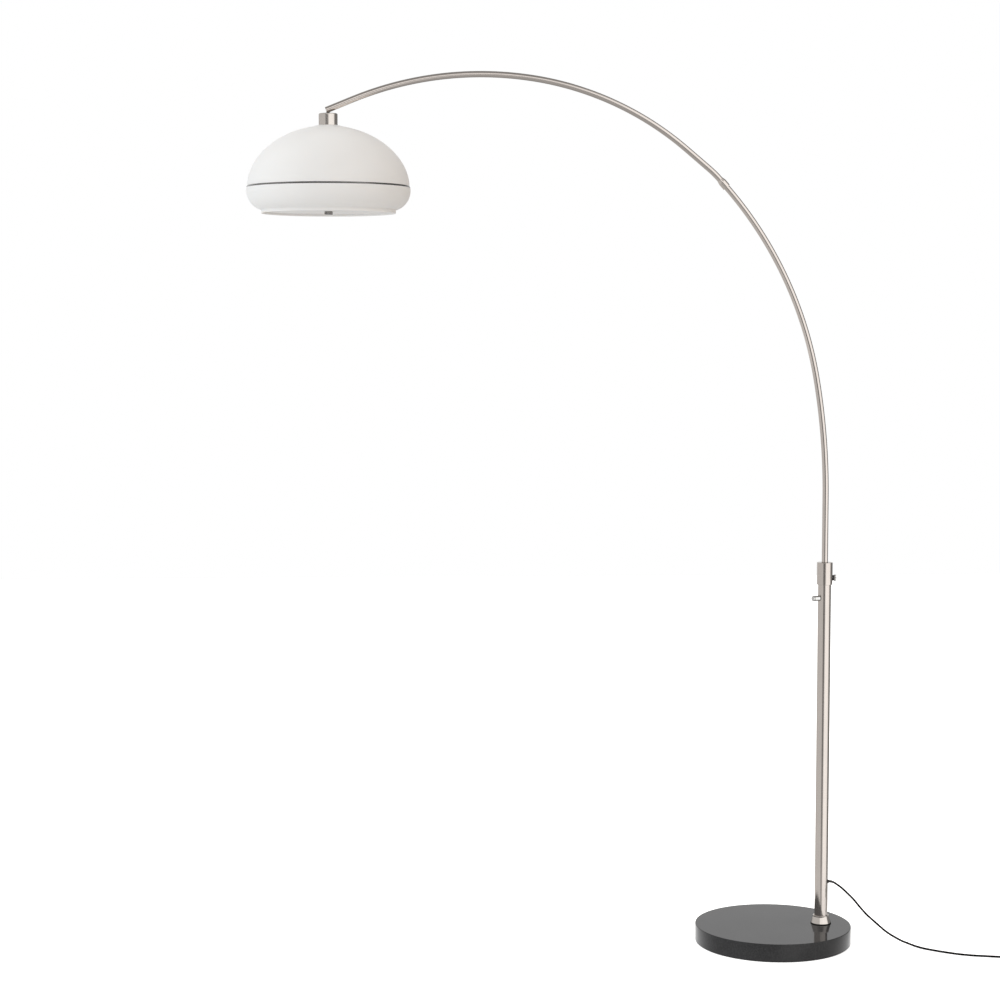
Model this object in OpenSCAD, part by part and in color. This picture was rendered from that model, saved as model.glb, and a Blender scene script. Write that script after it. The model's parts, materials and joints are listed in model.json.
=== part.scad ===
// Arc floor lamp: a stone base carries a round pole, a bent two-part arm turns in
// the head of the pole, and an opal shade hangs from the arm's tip.
// Frame: origin under the middle of the base, +Z up, the arm reaches towards -X.

/* [Base] */
// Diameter of the stone disc
base_d = 380; // [320:5:460]
// Thickness of the stone disc
base_t = 42; // [32:1:60]
// Chamfer on the upper and lower edge of the stone
base_edge = 1.5; // [0.5:0.5:4]
// Thickness of the felt pad under the stone
pad_t = 2; // [1:0.5:4]
// How far the felt pad stays inside the stone's edge
pad_inset = 3; // [2:1:30]
// Distance of the pole from the middle of the base
pole_offset = 119; // [90:1:140]
// Diameter of the fixing bolt
bolt_d = 10; // [8:1:12]
// Diameter of the recess for the bolt's head
recess_d = 44; // [38:1:50]
// Depth of the recess for the bolt's head
recess_depth = 16; // [12:1:20]

/* [Pole] */
// Outer diameter of the pole
pole_d = 32; // [28:0.2:39]
// Wall of the pole
pole_wall = 1.5; // [1:0.1:2.5]
// Length of the pole
pole_len = 888; // [700:1:1000]
// Wall of the foot cone at its top
cone_wall = 3.5; // [3:0.5:8]
// How far the foot cone widens on each side towards the stone
cone_flare = 5.5; // [4:0.5:12]
// Height of the foot cone
cone_h = 21; // [14:1:30]
// Thickness of the gasket between the foot cone and the stone
gasket_t = 1.5; // [1:0.5:3]
// Height of the cord's exit above the stone
exit_up = 104; // [60:1:200]

/* [Pole head] */
// Wall of the sleeve on the pole's top
sleeve_wall = 3; // [2:0.5:6]
// Height of the sleeve, with its closed top
sleeve_h = 54; // [44:1:80]
// Thickness of the sleeve's closed top
sleeve_top_t = 4; // [2:0.5:6]
// Depth of the arm's socket in the pole
socket_depth = 62; // [50:1:65]
// Wall of the ledge that the arm stands on
ledge_t = 4; // [3:0.5:6]
// Thread diameter of the clamp screw
screw_d = 6; // [5:0.5:8]
// Distance of the clamp screw below the sleeve's top
screw_down = 38; // [30:1:42]
// Diameter of the clamp screw's head
screw_head_d = 16; // [12:0.5:20]
// Thickness of the clamp screw's head
screw_head_t = 5.5; // [4:0.5:8]
// Visible neck between the sleeve and the head
screw_neck = 3.5; // [2:0.5:8]
// Distance of the rotary switch below the sleeve's top
switch_down = 87; // [86:1:140]
// Direction of the switch's knob around the pole, in degrees from +X
switch_turn = 205; // [180:5:270]
// Diameter of the switch's knob
knob_d = 13.6; // [12:0.2:18]
// Length of the switch's knob
knob_len = 18.8; // [10:0.1:24]

/* [Arm] */
// Outer diameter of the arm's tubes
arm_d = 15; // [14:0.5:18]
// Wall of the arm's tubes
arm_wall = 1.2; // [1:0.1:2]
// Straight run of the lower tube, from its end in the socket
lower_run = 226; // [180:1:320]
// Radius of the lower tube's first bend
lower_r1 = 1634; // [1200:1:2000]
// Angle of the lower tube's first bend
lower_a1 = 10; // [6:0.1:14]
// Radius of the lower tube's second bend
lower_r2 = 938; // [700:1:1200]
// Angle of the lower tube's second bend
lower_a2 = 31.6; // [25:0.1:36]
// Straight run inside the coupling between the two tubes
coupling_run = 24; // [18:1:40]
// Radius of the small bend above the coupling
elbow_r = 260; // [150:5:400]
// Angle of the small bend above the coupling
elbow_a = 8.3; // [4:0.1:12]
// Straight run of the upper tube above that bend
upper_run = 71; // [30:1:120]
// Radius of the upper tube's first bend
upper_r1 = 738; // [600:1:900]
// Angle of the upper tube's first bend
upper_a1 = 31.2; // [25:0.1:36]
// Radius of the upper tube's second bend
upper_r2 = 814; // [600:1:1000]
// Angle of the upper tube's second bend
upper_a2 = 31.2; // [25:0.1:36]
// Straight run at the arm's tip
tip_run = 67; // [40:1:120]
// Wall of the ferrule around the coupling
ferrule_wall = 2.25; // [1.5:0.25:4]
// Diameter of the lead inside the arm
lead_d = 5; // [4:0.5:6]

/* [Shade] */
// Largest diameter of the dome, at its lower edge
dome_d = 384; // [300:2:460]
// Height of the dome
dome_h = 143; // [110:1:180]
// Fullness of the dome: 2 is an ellipse, less is more pointed
dome_full = 1.92; // [1.7:0.01:2.2]
// Wall of the dome, the bowl and the rim
shade_wall = 2.5; // [2:0.1:4]
// Height of the trim ring between dome and bowl
ring_h = 4; // [3:0.5:8]
// How far the bowl stands out past the dome's edge
bowl_proud = 2.5; // [1:0.5:6]
// Radius of the bowl's bulge
bulge_r = 48; // [40:1:60]
// Drop from the bowl's top edge to its widest line
bulge_drop = 6; // [2:1:12]
// Drop from the widest line to the rim
bulge_fall = 46.2; // [36:0.1:47]
// Height of the straight rim
rim_h = 8; // [7:0.5:20]
// Thickness of the diffuser
diffuser_t = 3; // [2:0.5:5]
// Height of the diffuser's underside above the rim's lower edge
diffuser_up = 5; // [3:0.5:8]
// Diameter of the finial
finial_d = 19.5; // [16:0.5:26]
// Height of the finial
finial_h = 8; // [7:0.5:12]

/* [Shade fittings] */
// Diameter of the cap on the dome
cap_d = 45; // [36:1:60]
// Height of the cap
cap_h = 28; // [24:1:40]
// Wall of the cap
cap_wall = 2; // [1.5:0.5:3]
// Diameter of the nipple from the arm's tip to the cap
nipple_d = 8; // [6:1:10]
// Diameter of the hanging rod through the shade
rod_d = 10; // [8:1:12]
// Diameter of the lamp cluster's hub
hub_d = 36; // [32:1:44]
// Height of the lamp cluster's hub
hub_h = 16; // [12:1:24]
// Distance of the lamps' middle line below the dome's top
lamps_down = 88; // [80:1:100]
// Number of lampholders
lamp_count = 3; // [1:1:4]
// Diameter of a lampholder
holder_d = 28; // [24:1:36]
// Length of a lampholder
holder_len = 46; // [40:1:60]
// Diameter of a bulb
bulb_d = 45; // [35:1:50]

/* [Mains lead] */
// Diameter of the mains cord
cord_d = 5; // [4:0.5:6]
// Diameter of the coil at the middle of its turns
coil_d = 46.8; // [40:0.1:60]
// Width of the wound section
coil_w = 17.9; // [10:0.1:20]
// Height of the wound section
coil_h = 20.4; // [10:0.1:24]
// Thickness of the strap that ties the coil
tie_t = 0.8; // [0.5:0.1:2]
// Width of the strap that ties the coil
tie_w = 12; // [8:1:20]
// Width of the plug
plug_w = 35.3; // [30:0.1:40]
// Thickness of the plug
plug_t = 13.7; // [12:0.1:16]
// Length of the plug's body
plug_len = 37; // [30:1:45]
// Diameter of a plug pin
pin_d = 4; // [4:0.1:5]
// Length of a plug pin
pin_len = 19; // [16:1:20]
// Spacing of the plug's pins
pin_gap = 18.6; // [17:0.1:20]

/* [Hidden] */
$fn = 64;

// Clearances: running fits turn or slide, apart keeps two moving pieces separate
run_fit = 0.06;
apart = 0.4;
seat_gap = 0.3;

// Heights of the stand
stone_z = pad_t;
stand_z = stone_z + base_t;
pole_top = stand_z + pole_len;
sleeve_top = pole_top + sleeve_top_t;
seat_z = pole_top - socket_depth;
screw_z = sleeve_top - screw_down;
switch_z = sleeve_top - switch_down;
exit_z = stand_z + exit_up;
pole_id = pole_d - 2 * pole_wall;
cone_top_d = pole_d + 2 * cone_wall;
cone_d = cone_top_d + 2 * cone_flare;
cone_rim = 1.5;
cone_collar = 2;
gasket_lip = 1;
sleeve_d = pole_d + 2 * sleeve_wall;

// Pieces under the pole
plug_h = 30;
washer_d = recess_d - 6;
washer_t = 2.5;
bolt_head_t = 6.4;
bolt_reach = 24;
bolt_gap = 1;

// Clamp screw, measured from the pole's axis along +X
pad_start = arm_d / 2 + seat_gap;
pad_len = 3;
pad_d = screw_d - 0.8;
neck_d = screw_head_d - 2.5;
head_ease = 0.8;
head_dome = 1.2;
neck_start = sleeve_d / 2 + apart;
head_start = neck_start + screw_neck;

// Switch, measured from the pole's axis along its own axis
switch_body_d = 20;
switch_body_len = sqrt(pow(pole_id - 1, 2) - pow(switch_body_d, 2));
bush_d = 9;
shaft_d = 6;
knob_start = pole_d / 2 + apart;
switch_nut_d = 10.8;
switch_nut_t = 1.6;
knob_skirt = 3;
knob_waist = 0.45;

// Weld bands inside a bent tube: the gap they close, their lap and how far they stand proud
band_gap = 0.1;
band_lap = 0.6;
band_skin = 0.02;

// The arm's path: each step is [length, 0] for a straight or [radius, angle] for a bend
arm_id = arm_d - 2 * arm_wall;
ferrule_d = arm_d + 2 * ferrule_wall;
lower_path = [[lower_run - seat_gap, 0], [lower_r1, lower_a1], [lower_r2, lower_a2],
    [coupling_run / 2, 0]];
upper_path = [[coupling_run / 2, 0], [elbow_r, elbow_a], [upper_run, 0],
    [upper_r1, upper_a1], [upper_r2, upper_a2], [tip_run, 0]];
end_plug_len = 14;
lead_short = end_plug_len + 4;
lead_path = concat([for (i = [0:2]) lower_path[i]], [[coupling_run, 0]],
    [for (i = [1:4]) upper_path[i]], [[tip_run - lead_short, 0]]);
arm_start = [pole_offset, seat_z + seat_gap, 90];
coupling = pose_after(lower_path, len(lower_path), arm_start);
arm_tip = pose_after(upper_path, len(upper_path), coupling);

// Shade: its axis hangs under the lower corner of the arm's square-cut end
tip_corner = [arm_tip[0] - arm_d / 2 * sin(arm_tip[2]), arm_tip[1] + arm_d / 2 * cos(arm_tip[2])];
tip_inset = 2;
cap_gap = 0.7;
nipple_up = 6;
nipple_hole = 9;
shade_x = tip_corner[0] + tip_inset;
cap_top = tip_corner[1] - cap_gap;
dome_top = cap_top - cap_h;
dome_r = dome_d / 2;
dome_edge = dome_top - dome_h;
bowl_top = dome_edge - ring_h;
bowl_r = dome_r + bowl_proud;
bulge_z = bowl_top - bulge_drop;
rim_top = bulge_z - bulge_fall;
rim_r = bowl_r - bulge_r + sqrt(pow(bulge_r, 2) - pow(bulge_fall, 2));
rim_z = rim_top - rim_h;
diffuser_z = rim_z + diffuser_up;
dome_steps = 22;
bulge_steps = 12;
cap_seat = cap_d / 2 + 2;
lip_r = dome_r - shade_wall - 0.6;
lip_t = 2;
lip_h = 4;
hub_z = dome_top - lamps_down;
dome_washer_t = 1.5;
nut_t = 6;
rod_bore = rod_d - 3.5;
rod_end = diffuser_z - finial_h + 2;
coupler_d = rod_d + 7;
coupler_len = 20;
coupler_z = cap_top - 5 - coupler_len;
coupler_mid = coupler_z + coupler_len / 2;
holder_start = hub_d / 2 - 4;
holder_end = holder_start + holder_len;
bulb_neck = 16;
bulb_seat = 26;
bulb_len = 50;

// Mains cord: the route's points, chosen by hand for a cord that leaves a pole's side
// at x = 135 and z = 148, from the strain relief to the coil
cord_r = cord_d / 2;
route_exit = [135, 148];
route_low = 2;
side_shift = pole_offset + pole_d / 2 - route_exit[0];
rise = (exit_z - cord_r) / (route_exit[1] - route_low);
relief_route = [[134, 0, 148], [140, 0, 148], [147, 0, 146.5], [154, -1, 143]];
cord_route = [
    [154, -1, 143], [169, -3, 132], [183, -6, 119], [198, -9, 104], [212, -13, 87],
    [226, -18, 71], [240, -23, 58], [254, -28, 46], [268, -35, 34], [281, -41, 25],
    [294, -48, 18], [307, -56, 12], [320, -64, 8], [333, -73, 4.5], [346, -84, 2.5],
    [360, -97, 2], [380, -114, 2], [405, -132, 2], [430, -147, 2], [457, -158, 2],
    [484, -165, 2], [512, -172, 2], [542, -176.5, 2], [572, -179.8, 2.8]
];
tail_route = [
    [601.8, -150, 18.6], [602, -140, 18.2], [602, -130, 14.5], [601.2, -120, 9.5], [600, -111, 6.9]
];
coil_at = [572, -150];
plug_at = [600, -111];
tie_turn = 135;
tip_thin = 0.3;
hole_d = cord_d + 3;

// ---- Functions ----

// A point of the cord's route, moved with the pole's side and the height of the exit
function placed(p) = [p[0] + side_shift, p[1], cord_r + (p[2] - route_low) * rise];

// Place and heading after one step along a path
function step(p, s) = s[1] == 0
    ? [p[0] + s[0] * cos(p[2]), p[1] + s[0] * sin(p[2]), p[2]]
    : [p[0] + s[0] * (sin(p[2] + s[1]) - sin(p[2])),
       p[1] - s[0] * (cos(p[2] + s[1]) - cos(p[2])), p[2] + s[1]];

// Place and heading after the first n steps of a path
function pose_after(path, n, start) =
    n == 0 ? start : step(pose_after(path, n - 1, start), path[n - 1]);

// Dome outline from its axis to its lower edge, drawn in by t
function dome_outline(t) = [for (i = [0:dome_steps])
    let (a = 90 - 90 * i / dome_steps, n = 2 / dome_full)
    [(dome_r - t) * pow(cos(a), n), (dome_h - t) * pow(sin(a), n)]];

// Bowl bulge outline from its top edge to the rim, for a bulge of radius r
function bulge_outline(r) = [for (i = [0:bulge_steps])
    let (a0 = asin(bulge_drop / r), a1 = -asin(bulge_fall / bulge_r), a = a0 + (a1 - a0) * i / bulge_steps)
    [bowl_r - bulge_r + r * cos(a), bulge_z + r * sin(a)]];

// Smooth curve through hand-set points, m rings to each span
function at(pts, i) = pts[max(0, min(len(pts) - 1, i))];
function spline_point(a, b, c, d, t) = 0.5 * (2 * b + (c - a) * t
    + (2 * a - 5 * b + 4 * c - d) * t * t + (3 * b - a - 3 * c + d) * t * t * t);
function smooth_route(pts, m) = concat(
    [for (i = [0:len(pts) - 2]) for (k = [0:m - 1])
        spline_point(at(pts, i - 1), at(pts, i), at(pts, i + 1), at(pts, i + 2), k / m)],
    [at(pts, len(pts) - 1)]);
function unit(v) = v / norm(v);
function ring_at(c, dir, r, n) =
    let (side = unit(cross(dir, [0, 0, 1])), up = cross(side, dir))
    [for (k = [0:n - 1]) c + r * (cos(360 * k / n) * side + sin(360 * k / n) * up)];

// ---- Shared shapes ----

// A round cord swept through pts, its radius going from r0 to r1
module swept_cord(pts, r0, r1, sides) {
    last = len(pts) - 1;
    rings = [for (i = [0:last])
        ring_at(pts[i], unit(at(pts, i + 1) - at(pts, i - 1)), r0 + (r1 - r0) * i / last, sides)];
    points = [for (ring = rings) for (p = ring) p];
    ends = [[for (k = [sides - 1:-1:0]) k], [for (k = [0:sides - 1]) last * sides + k]];
    walls = [for (i = [0:last - 1]) for (k = [0:sides - 1]) let (j = (k + 1) % sides)
        [i * sides + k, i * sides + j, (i + 1) * sides + j, (i + 1) * sides + k]];
    polyhedron(points, concat(ends, walls), convexity = 10);
}

// A flat ring or disc section
module section(d, bore) {
    difference() {
        circle(d = d);
        if (bore > 0) circle(d = bore);
    }
}

module washer(d, bore, t) {
    linear_extrude(t) section(d, bore);
}

// One step of a bent tube, standing at the local origin and heading along +Z, short by gap
module tube_step(s, d, bore, gap) {
    back = gap / s[0] * 180 / PI;
    if (s[1] == 0) translate([0, 0, gap]) linear_extrude(s[0] - gap) section(d, bore);
    else translate([-s[0], 0, 0]) rotate([90, 0, 0]) rotate([0, 0, back])
        rotate_extrude(angle = s[1] - back, $fn = 180) translate([s[0], 0]) section(d, bore, $fn = 48);
}

// Puts children at a place on the arm's path, with +Z along its heading
module on_arm(pose) {
    translate([pose[0], 0, pose[1]]) rotate([0, 90 - pose[2], 0]) children();
}

// A bent tube: thin weld bands close the small gap where one step meets the next
module bent_tube(path, start, d, bore) {
    for (i = [0:len(path) - 1]) on_arm(pose_after(path, i, start)) {
        tube_step(path[i], d, bore, i == 0 ? 0 : band_gap);
        if (i > 0) translate([0, 0, -band_lap]) linear_extrude(2 * band_lap)
            section(d + 2 * band_skin, max(0, bore - 2 * band_skin));
    }
}

module at_pole(z) {
    translate([pole_offset, 0, z]) children();
}

module on_shade(z) {
    translate([shade_x, 0, z]) children();
}

// Turns +Z towards +X at the clamp screw's height
module on_screw() {
    at_pole(screw_z) rotate([0, 90, 0]) children();
}

// Turns +Z outwards along the switch's axis
module on_switch() {
    at_pole(switch_z) rotate([0, 0, switch_turn]) rotate([0, 90, 0]) children();
}

// The nipple's way through the wall of the arm's tip
module nipple_hole() {
    on_shade(cap_top - 1) cylinder(d = nipple_d, h = cap_gap + nipple_hole + 1);
}

module hex_nut(across, t, bore) {
    difference() {
        cylinder(d = across / cos(30), h = t, $fn = 6);
        translate([0, 0, -1]) cylinder(d = bore, h = t + 2);
    }
}

// ---- Stand ----

module base_stone() color([0.16, 0.16, 0.17]) translate([0, 0, stone_z]) difference() {
    rotate_extrude($fn = 180) polygon([[0, 0], [base_d / 2 - base_edge, 0], [base_d / 2, base_edge],
        [base_d / 2, base_t - base_edge], [base_d / 2 - base_edge, base_t], [0, base_t]]);
    translate([pole_offset, 0, -1]) cylinder(d = bolt_d + 2 * bolt_gap, h = base_t + 2);
    translate([pole_offset, 0, -1]) cylinder(d = recess_d, h = recess_depth + 1);
}

module base_felt() color([0.1, 0.1, 0.1]) difference() {
    cylinder(d = base_d - 2 * pad_inset, h = pad_t, $fn = 180);
    translate([pole_offset, 0, -1]) cylinder(d = recess_d, h = pad_t + 2);
}

module base_washer() color("silver")
    at_pole(stone_z + recess_depth - washer_t) washer(washer_d, bolt_d + 2 * run_fit, washer_t);

module base_bolt() color("silver") at_pole(stone_z + recess_depth - washer_t) {
    translate([0, 0, -bolt_head_t]) cylinder(d = (1.6 * bolt_d + 1) / cos(30), h = bolt_head_t, $fn = 6);
    cylinder(d = bolt_d, h = base_t - recess_depth + washer_t + bolt_reach);
}

module foot_gasket() color([0.06, 0.06, 0.06]) at_pole(stand_z) washer(cone_d, pole_d, gasket_t);

module foot_cone() color([0.72, 0.69, 0.66]) at_pole(stand_z + gasket_t) difference() {
    rise = cone_h - gasket_t;
    rotate_extrude() polygon([[0, 0], [cone_d / 2 - gasket_lip, 0], [cone_d / 2 - gasket_lip, cone_rim],
        [cone_top_d / 2, rise - cone_collar], [cone_top_d / 2, rise], [0, rise]]);
    translate([0, 0, -1]) cylinder(d = pole_d, h = cone_h + 2);
}

module pole_tube() color([0.72, 0.69, 0.66]) difference() {
    at_pole(stand_z) washer(pole_d, pole_id, pole_len);
    on_screw() cylinder(d = screw_d + 2 * run_fit, h = pole_d);
    on_switch() cylinder(d = bush_d, h = pole_d);
    at_pole(exit_z) rotate([0, 90, 0]) cylinder(d = hole_d, h = pole_d);
}

module pole_plug() color("silver") at_pole(stand_z) washer(pole_id, bolt_d, plug_h);

module pole_sleeve() color([0.72, 0.69, 0.66]) difference() {
    at_pole(sleeve_top - sleeve_h) cylinder(d = sleeve_d, h = sleeve_h);
    at_pole(sleeve_top - sleeve_h - 1) cylinder(d = pole_d, h = sleeve_h - sleeve_top_t + 1);
    at_pole(pole_top - 1) cylinder(d = arm_d + 2 * apart, h = sleeve_top_t + 2);
    on_screw() cylinder(d = screw_d + 2 * run_fit, h = pole_d);
}

module arm_socket() color("silver") difference() {
    at_pole(seat_z - ledge_t) cylinder(d = pole_id, h = socket_depth + ledge_t);
    at_pole(seat_z) cylinder(d = arm_d + 2 * run_fit, h = socket_depth + 1);
    at_pole(seat_z - ledge_t - 1) cylinder(d = arm_id - 2, h = ledge_t + 2);
    on_screw() cylinder(d = screw_d + 2 * run_fit, h = pole_d);
}

module clamp_pad() color("white") on_screw()
    translate([0, 0, pad_start]) cylinder(d = pad_d, h = pad_len);

module clamp_screw() color([0.7, 0.7, 0.7]) on_screw() {
    translate([0, 0, pad_start + pad_len]) cylinder(d = screw_d, h = neck_start - pad_start - pad_len);
    translate([0, 0, neck_start]) cylinder(d = neck_d, h = screw_neck);
    translate([0, 0, head_start]) rotate_extrude() polygon([[0, 0], [screw_head_d / 2 - head_ease, 0],
        [screw_head_d / 2, head_ease], [screw_head_d / 2, screw_head_t - head_dome],
        [screw_head_d / 2 - head_dome, screw_head_t], [0, screw_head_t]]);
}

module switch_body() color([0.15, 0.15, 0.15]) on_switch() difference() {
    union() {
        translate([0, 0, -switch_body_len / 2]) cylinder(d = switch_body_d, h = switch_body_len);
        cylinder(d = bush_d, h = knob_start + knob_skirt - apart);
    }
    translate([0, 0, switch_body_len / 2 - 4]) cylinder(d = shaft_d + 2 * run_fit, h = pole_d);
}

module switch_nut() color("silver") on_switch()
    translate([0, 0, pole_d / 2]) washer(switch_nut_d, bush_d, switch_nut_t);

module switch_knob() color([0.8, 0.8, 0.8]) on_switch() {
    difference() {
        translate([0, 0, knob_start]) rotate_extrude() polygon([[0, 0], [knob_d / 2, 0],
            [knob_d / 2, 1.5], [knob_d / 2 - knob_waist, 4], [knob_d / 2 - knob_waist, knob_len - 6],
            [knob_d / 2, knob_len - 3], [knob_d / 2 - 0.6, knob_len - 1.2],
            [knob_d / 2 - 2.2, knob_len], [0, knob_len]]);
        translate([0, 0, knob_start - 1]) cylinder(d = switch_nut_d + 2 * apart, h = knob_skirt + 1);
    }
    translate([0, 0, switch_body_len / 2 - 3.5])
        cylinder(d = shaft_d, h = knob_start + knob_skirt + 1 - switch_body_len / 2 + 3.5);
}

module pole_lead() color([0.1, 0.1, 0.1]) at_pole(exit_z) {
    turn = 8;
    translate([turn, 0, 0]) rotate([0, 90, 0]) cylinder(d = cord_d, h = pole_d / 2 - pole_wall - turn);
    translate([turn, 0, turn]) rotate([90, 0, 0]) rotate([0, 0, 180])
        rotate_extrude(angle = 90) translate([turn, 0]) circle(d = cord_d, $fn = 32);
    translate([0, 0, turn]) cylinder(d = cord_d, h = switch_z - switch_body_d / 2 - exit_z - turn);
}

// ---- Mains lead ----

module strain_relief() color([0.06, 0.06, 0.06]) {
    at_pole(exit_z) rotate([0, 90, 0]) {
        translate([0, 0, pole_id / 2]) cylinder(d = hole_d, h = pole_wall + 1);
        translate([0, 0, pole_d / 2 + 0.8]) cylinder(d = hole_d + 1.5, h = 1.5);
    }
    swept_cord(smooth_route([for (p = relief_route) placed(p)], 3), cord_r + 0.9, cord_r + tip_thin, 12);
}

module mains_cord() color([0.06, 0.06, 0.06])
    swept_cord(smooth_route([for (p = cord_route) placed(p)], 3), cord_r, cord_r, 8);

module cord_coil() color([0.06, 0.06, 0.06]) translate([coil_at[0] + side_shift, coil_at[1], tie_t])
    rotate_extrude() translate([coil_d / 2, coil_h / 2]) square([coil_w, coil_h], center = true);

module cord_tail() color([0.06, 0.06, 0.06])
    translate([side_shift, 0, 0]) swept_cord(smooth_route(tail_route, 2), cord_r, cord_r, 8);

module cord_tie() color([0.2, 0.2, 0.2]) translate([coil_at[0] + side_shift, coil_at[1], 0])
    rotate([0, 0, tie_turn]) translate([coil_d / 2, tie_w / 2, coil_h / 2 + tie_t]) rotate([90, 0, 0])
    linear_extrude(tie_w) difference() {
        square([coil_w + 2 * tie_t, coil_h + 2 * tie_t], center = true);
        square([coil_w, coil_h], center = true);
    }

module plug_body() color([0.08, 0.08, 0.08]) translate([plug_at[0] + side_shift, plug_at[1], plug_t / 2])
    rotate([-90, 0, 0]) {
        hull() {
            translate([0, 0, plug_len - 8]) linear_extrude(8) offset(r = 3, $fn = 24)
                square([plug_w - 6, plug_t - 6], center = true);
            translate([0, 0, 10]) linear_extrude(2) offset(r = 3, $fn = 24)
                square([12, plug_t - 7], center = true);
        }
        cylinder(d1 = cord_d + 2, d2 = cord_d + 4, h = 11, $fn = 32);
    }

module plug_pins() color([0.8, 0.75, 0.6]) for (s = [-1, 1])
    translate([plug_at[0] + side_shift + s * pin_gap / 2, plug_at[1] + plug_len, plug_t / 2])
        rotate([-90, 0, 0]) {
        cylinder(d = pin_d, h = pin_len - 1);
        translate([0, 0, pin_len - 1]) cylinder(d1 = pin_d, d2 = pin_d - 2, h = 1, $fn = 32);
    }

// ---- Arm ----

module lower_arm_tube() color([0.72, 0.69, 0.66]) bent_tube(lower_path, arm_start, arm_d, arm_id);

module upper_arm_tube() color([0.72, 0.69, 0.66]) difference() {
    bent_tube(upper_path, coupling, arm_d, arm_id);
    nipple_hole();
}

module coupling_pin() color("silver") on_arm(coupling)
    translate([0, 0, -coupling_run / 2]) washer(arm_id, arm_id - 4, coupling_run);

module arm_ferrule() color([0.72, 0.69, 0.66]) on_arm(coupling)
    translate([0, 0, -coupling_run / 2]) difference() {
        rotate_extrude() polygon([[0, 0], [ferrule_d / 2 - 0.4, 0], [ferrule_d / 2, 0.4],
            [ferrule_d / 2, coupling_run - 8], [arm_d / 2 + 0.5, coupling_run], [0, coupling_run]]);
        translate([0, 0, -1]) cylinder(d = arm_d + 2 * band_skin, h = coupling_run + 2);
    }

module arm_end_plug() color([0.06, 0.06, 0.06]) difference() {
    on_arm(arm_tip) translate([0, 0, -end_plug_len]) cylinder(d = arm_id, h = end_plug_len);
    on_arm(arm_tip) translate([0, 0, -end_plug_len - 1]) cylinder(d = lead_d, h = end_plug_len - 4);
    nipple_hole();
}

module arm_lead() color([0.1, 0.1, 0.1]) bent_tube(lead_path, arm_start, lead_d, 0);

module tip_nipple() color([0.06, 0.06, 0.06]) on_shade(coupler_mid) difference() {
    cylinder(d = nipple_d, h = tip_corner[1] + nipple_up - coupler_mid);
    translate([0, 0, -1]) cylinder(d = nipple_d - 3, h = cap_h + arm_d);
}

// ---- Shade ----

module shade_cap() color([0.72, 0.69, 0.66]) on_shade(dome_top) difference() {
    rotate_extrude() polygon([[0, 0], [cap_d / 2, 0], [cap_d / 2, cap_h - 2.4],
        [cap_d / 2 - 0.7, cap_h - 0.7], [cap_d / 2 - 2.4, cap_h], [0, cap_h]]);
    translate([0, 0, -1]) cylinder(d = cap_d - 2 * cap_wall, h = cap_h - cap_wall - 0.5);
    translate([0, 0, cap_h - cap_wall - 2]) cylinder(d = nipple_d, h = cap_wall + 3);
}

module rod_coupler() color("silver") on_shade(coupler_z) difference() {
    cylinder(d = coupler_d, h = coupler_len);
    translate([0, 0, -1]) cylinder(d = rod_d, h = coupler_len / 2 + 1);
    translate([0, 0, coupler_len / 2]) cylinder(d = nipple_d, h = coupler_len);
}

module hanging_rod() color("silver") on_shade(rod_end) difference() {
    cylinder(d = rod_d, h = coupler_mid - rod_end);
    translate([0, 0, 8]) cylinder(d = rod_bore, h = coupler_mid - rod_end);
    translate([0, 0, hub_z - rod_end]) rotate([0, 90, 0]) cylinder(d = rod_bore - 1, h = rod_d);
}

module shade_dome() color([0.95, 0.95, 0.94]) on_shade(dome_edge) difference() {
    rotate_extrude($fn = 180) polygon(concat([[0, 0]], [[0, dome_h]], [[cap_seat, dome_h]],
        [for (p = dome_outline(0)) if (p[0] > cap_seat + 4) p]));
    rotate_extrude($fn = 180) polygon(concat([[0, -1]], [[0, dome_h - shade_wall]],
        [[cap_seat, dome_h - shade_wall]],
        [for (p = dome_outline(shade_wall)) if (p[0] > cap_seat + 4) p], [[dome_r - shade_wall, -1]]));
    cylinder(d = rod_d + 1, h = dome_h + 1);
}

module dome_washer() color("silver")
    on_shade(dome_top - shade_wall - dome_washer_t) washer(cap_d - 5, rod_d, dome_washer_t);

module dome_nut() color("silver")
    on_shade(dome_top - shade_wall - dome_washer_t - nut_t) hex_nut(rod_d + 7, nut_t, rod_d);

module trim_ring() color([0.35, 0.34, 0.33]) on_shade(bowl_top) rotate_extrude($fn = 180)
    polygon([[lip_r - lip_t, -lip_h], [lip_r, -lip_h], [lip_r, 0], [bowl_r + 0.4, 0],
        [dome_r + 0.4, ring_h], [lip_r, ring_h], [lip_r, ring_h + lip_h], [lip_r - lip_t, ring_h + lip_h]]);

module shade_bowl() color([0.95, 0.95, 0.94]) on_shade(0) rotate_extrude($fn = 180)
    polygon(concat(bulge_outline(bulge_r), [[rim_r, rim_z + 0.5], [rim_r - 0.5, rim_z],
        [rim_r - shade_wall, rim_z]], [[rim_r - shade_wall, rim_top + shade_wall]],
        [for (i = [bulge_steps:-1:0]) let (p = bulge_outline(bulge_r - shade_wall)[i])
            if (p[0] > rim_r - shade_wall) p]));

module lamp_hub() color("silver") on_shade(hub_z - hub_h / 2) difference() {
    cylinder(d = hub_d, h = hub_h);
    translate([0, 0, 2]) cylinder(d = hub_d - 4, h = hub_h - 4);
    translate([0, 0, -1]) cylinder(d = rod_d, h = hub_h + 2);
    for (i = [0:lamp_count - 1]) rotate([0, 0, 360 * i / lamp_count])
        translate([holder_start - 2, 0, hub_h / 2]) rotate([0, 90, 0]) cylinder(d = 10, h = hub_d);
}

module hub_nut() color("silver") on_shade(hub_z - hub_h / 2 - nut_t) hex_nut(rod_d + 7, nut_t, rod_d);

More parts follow.
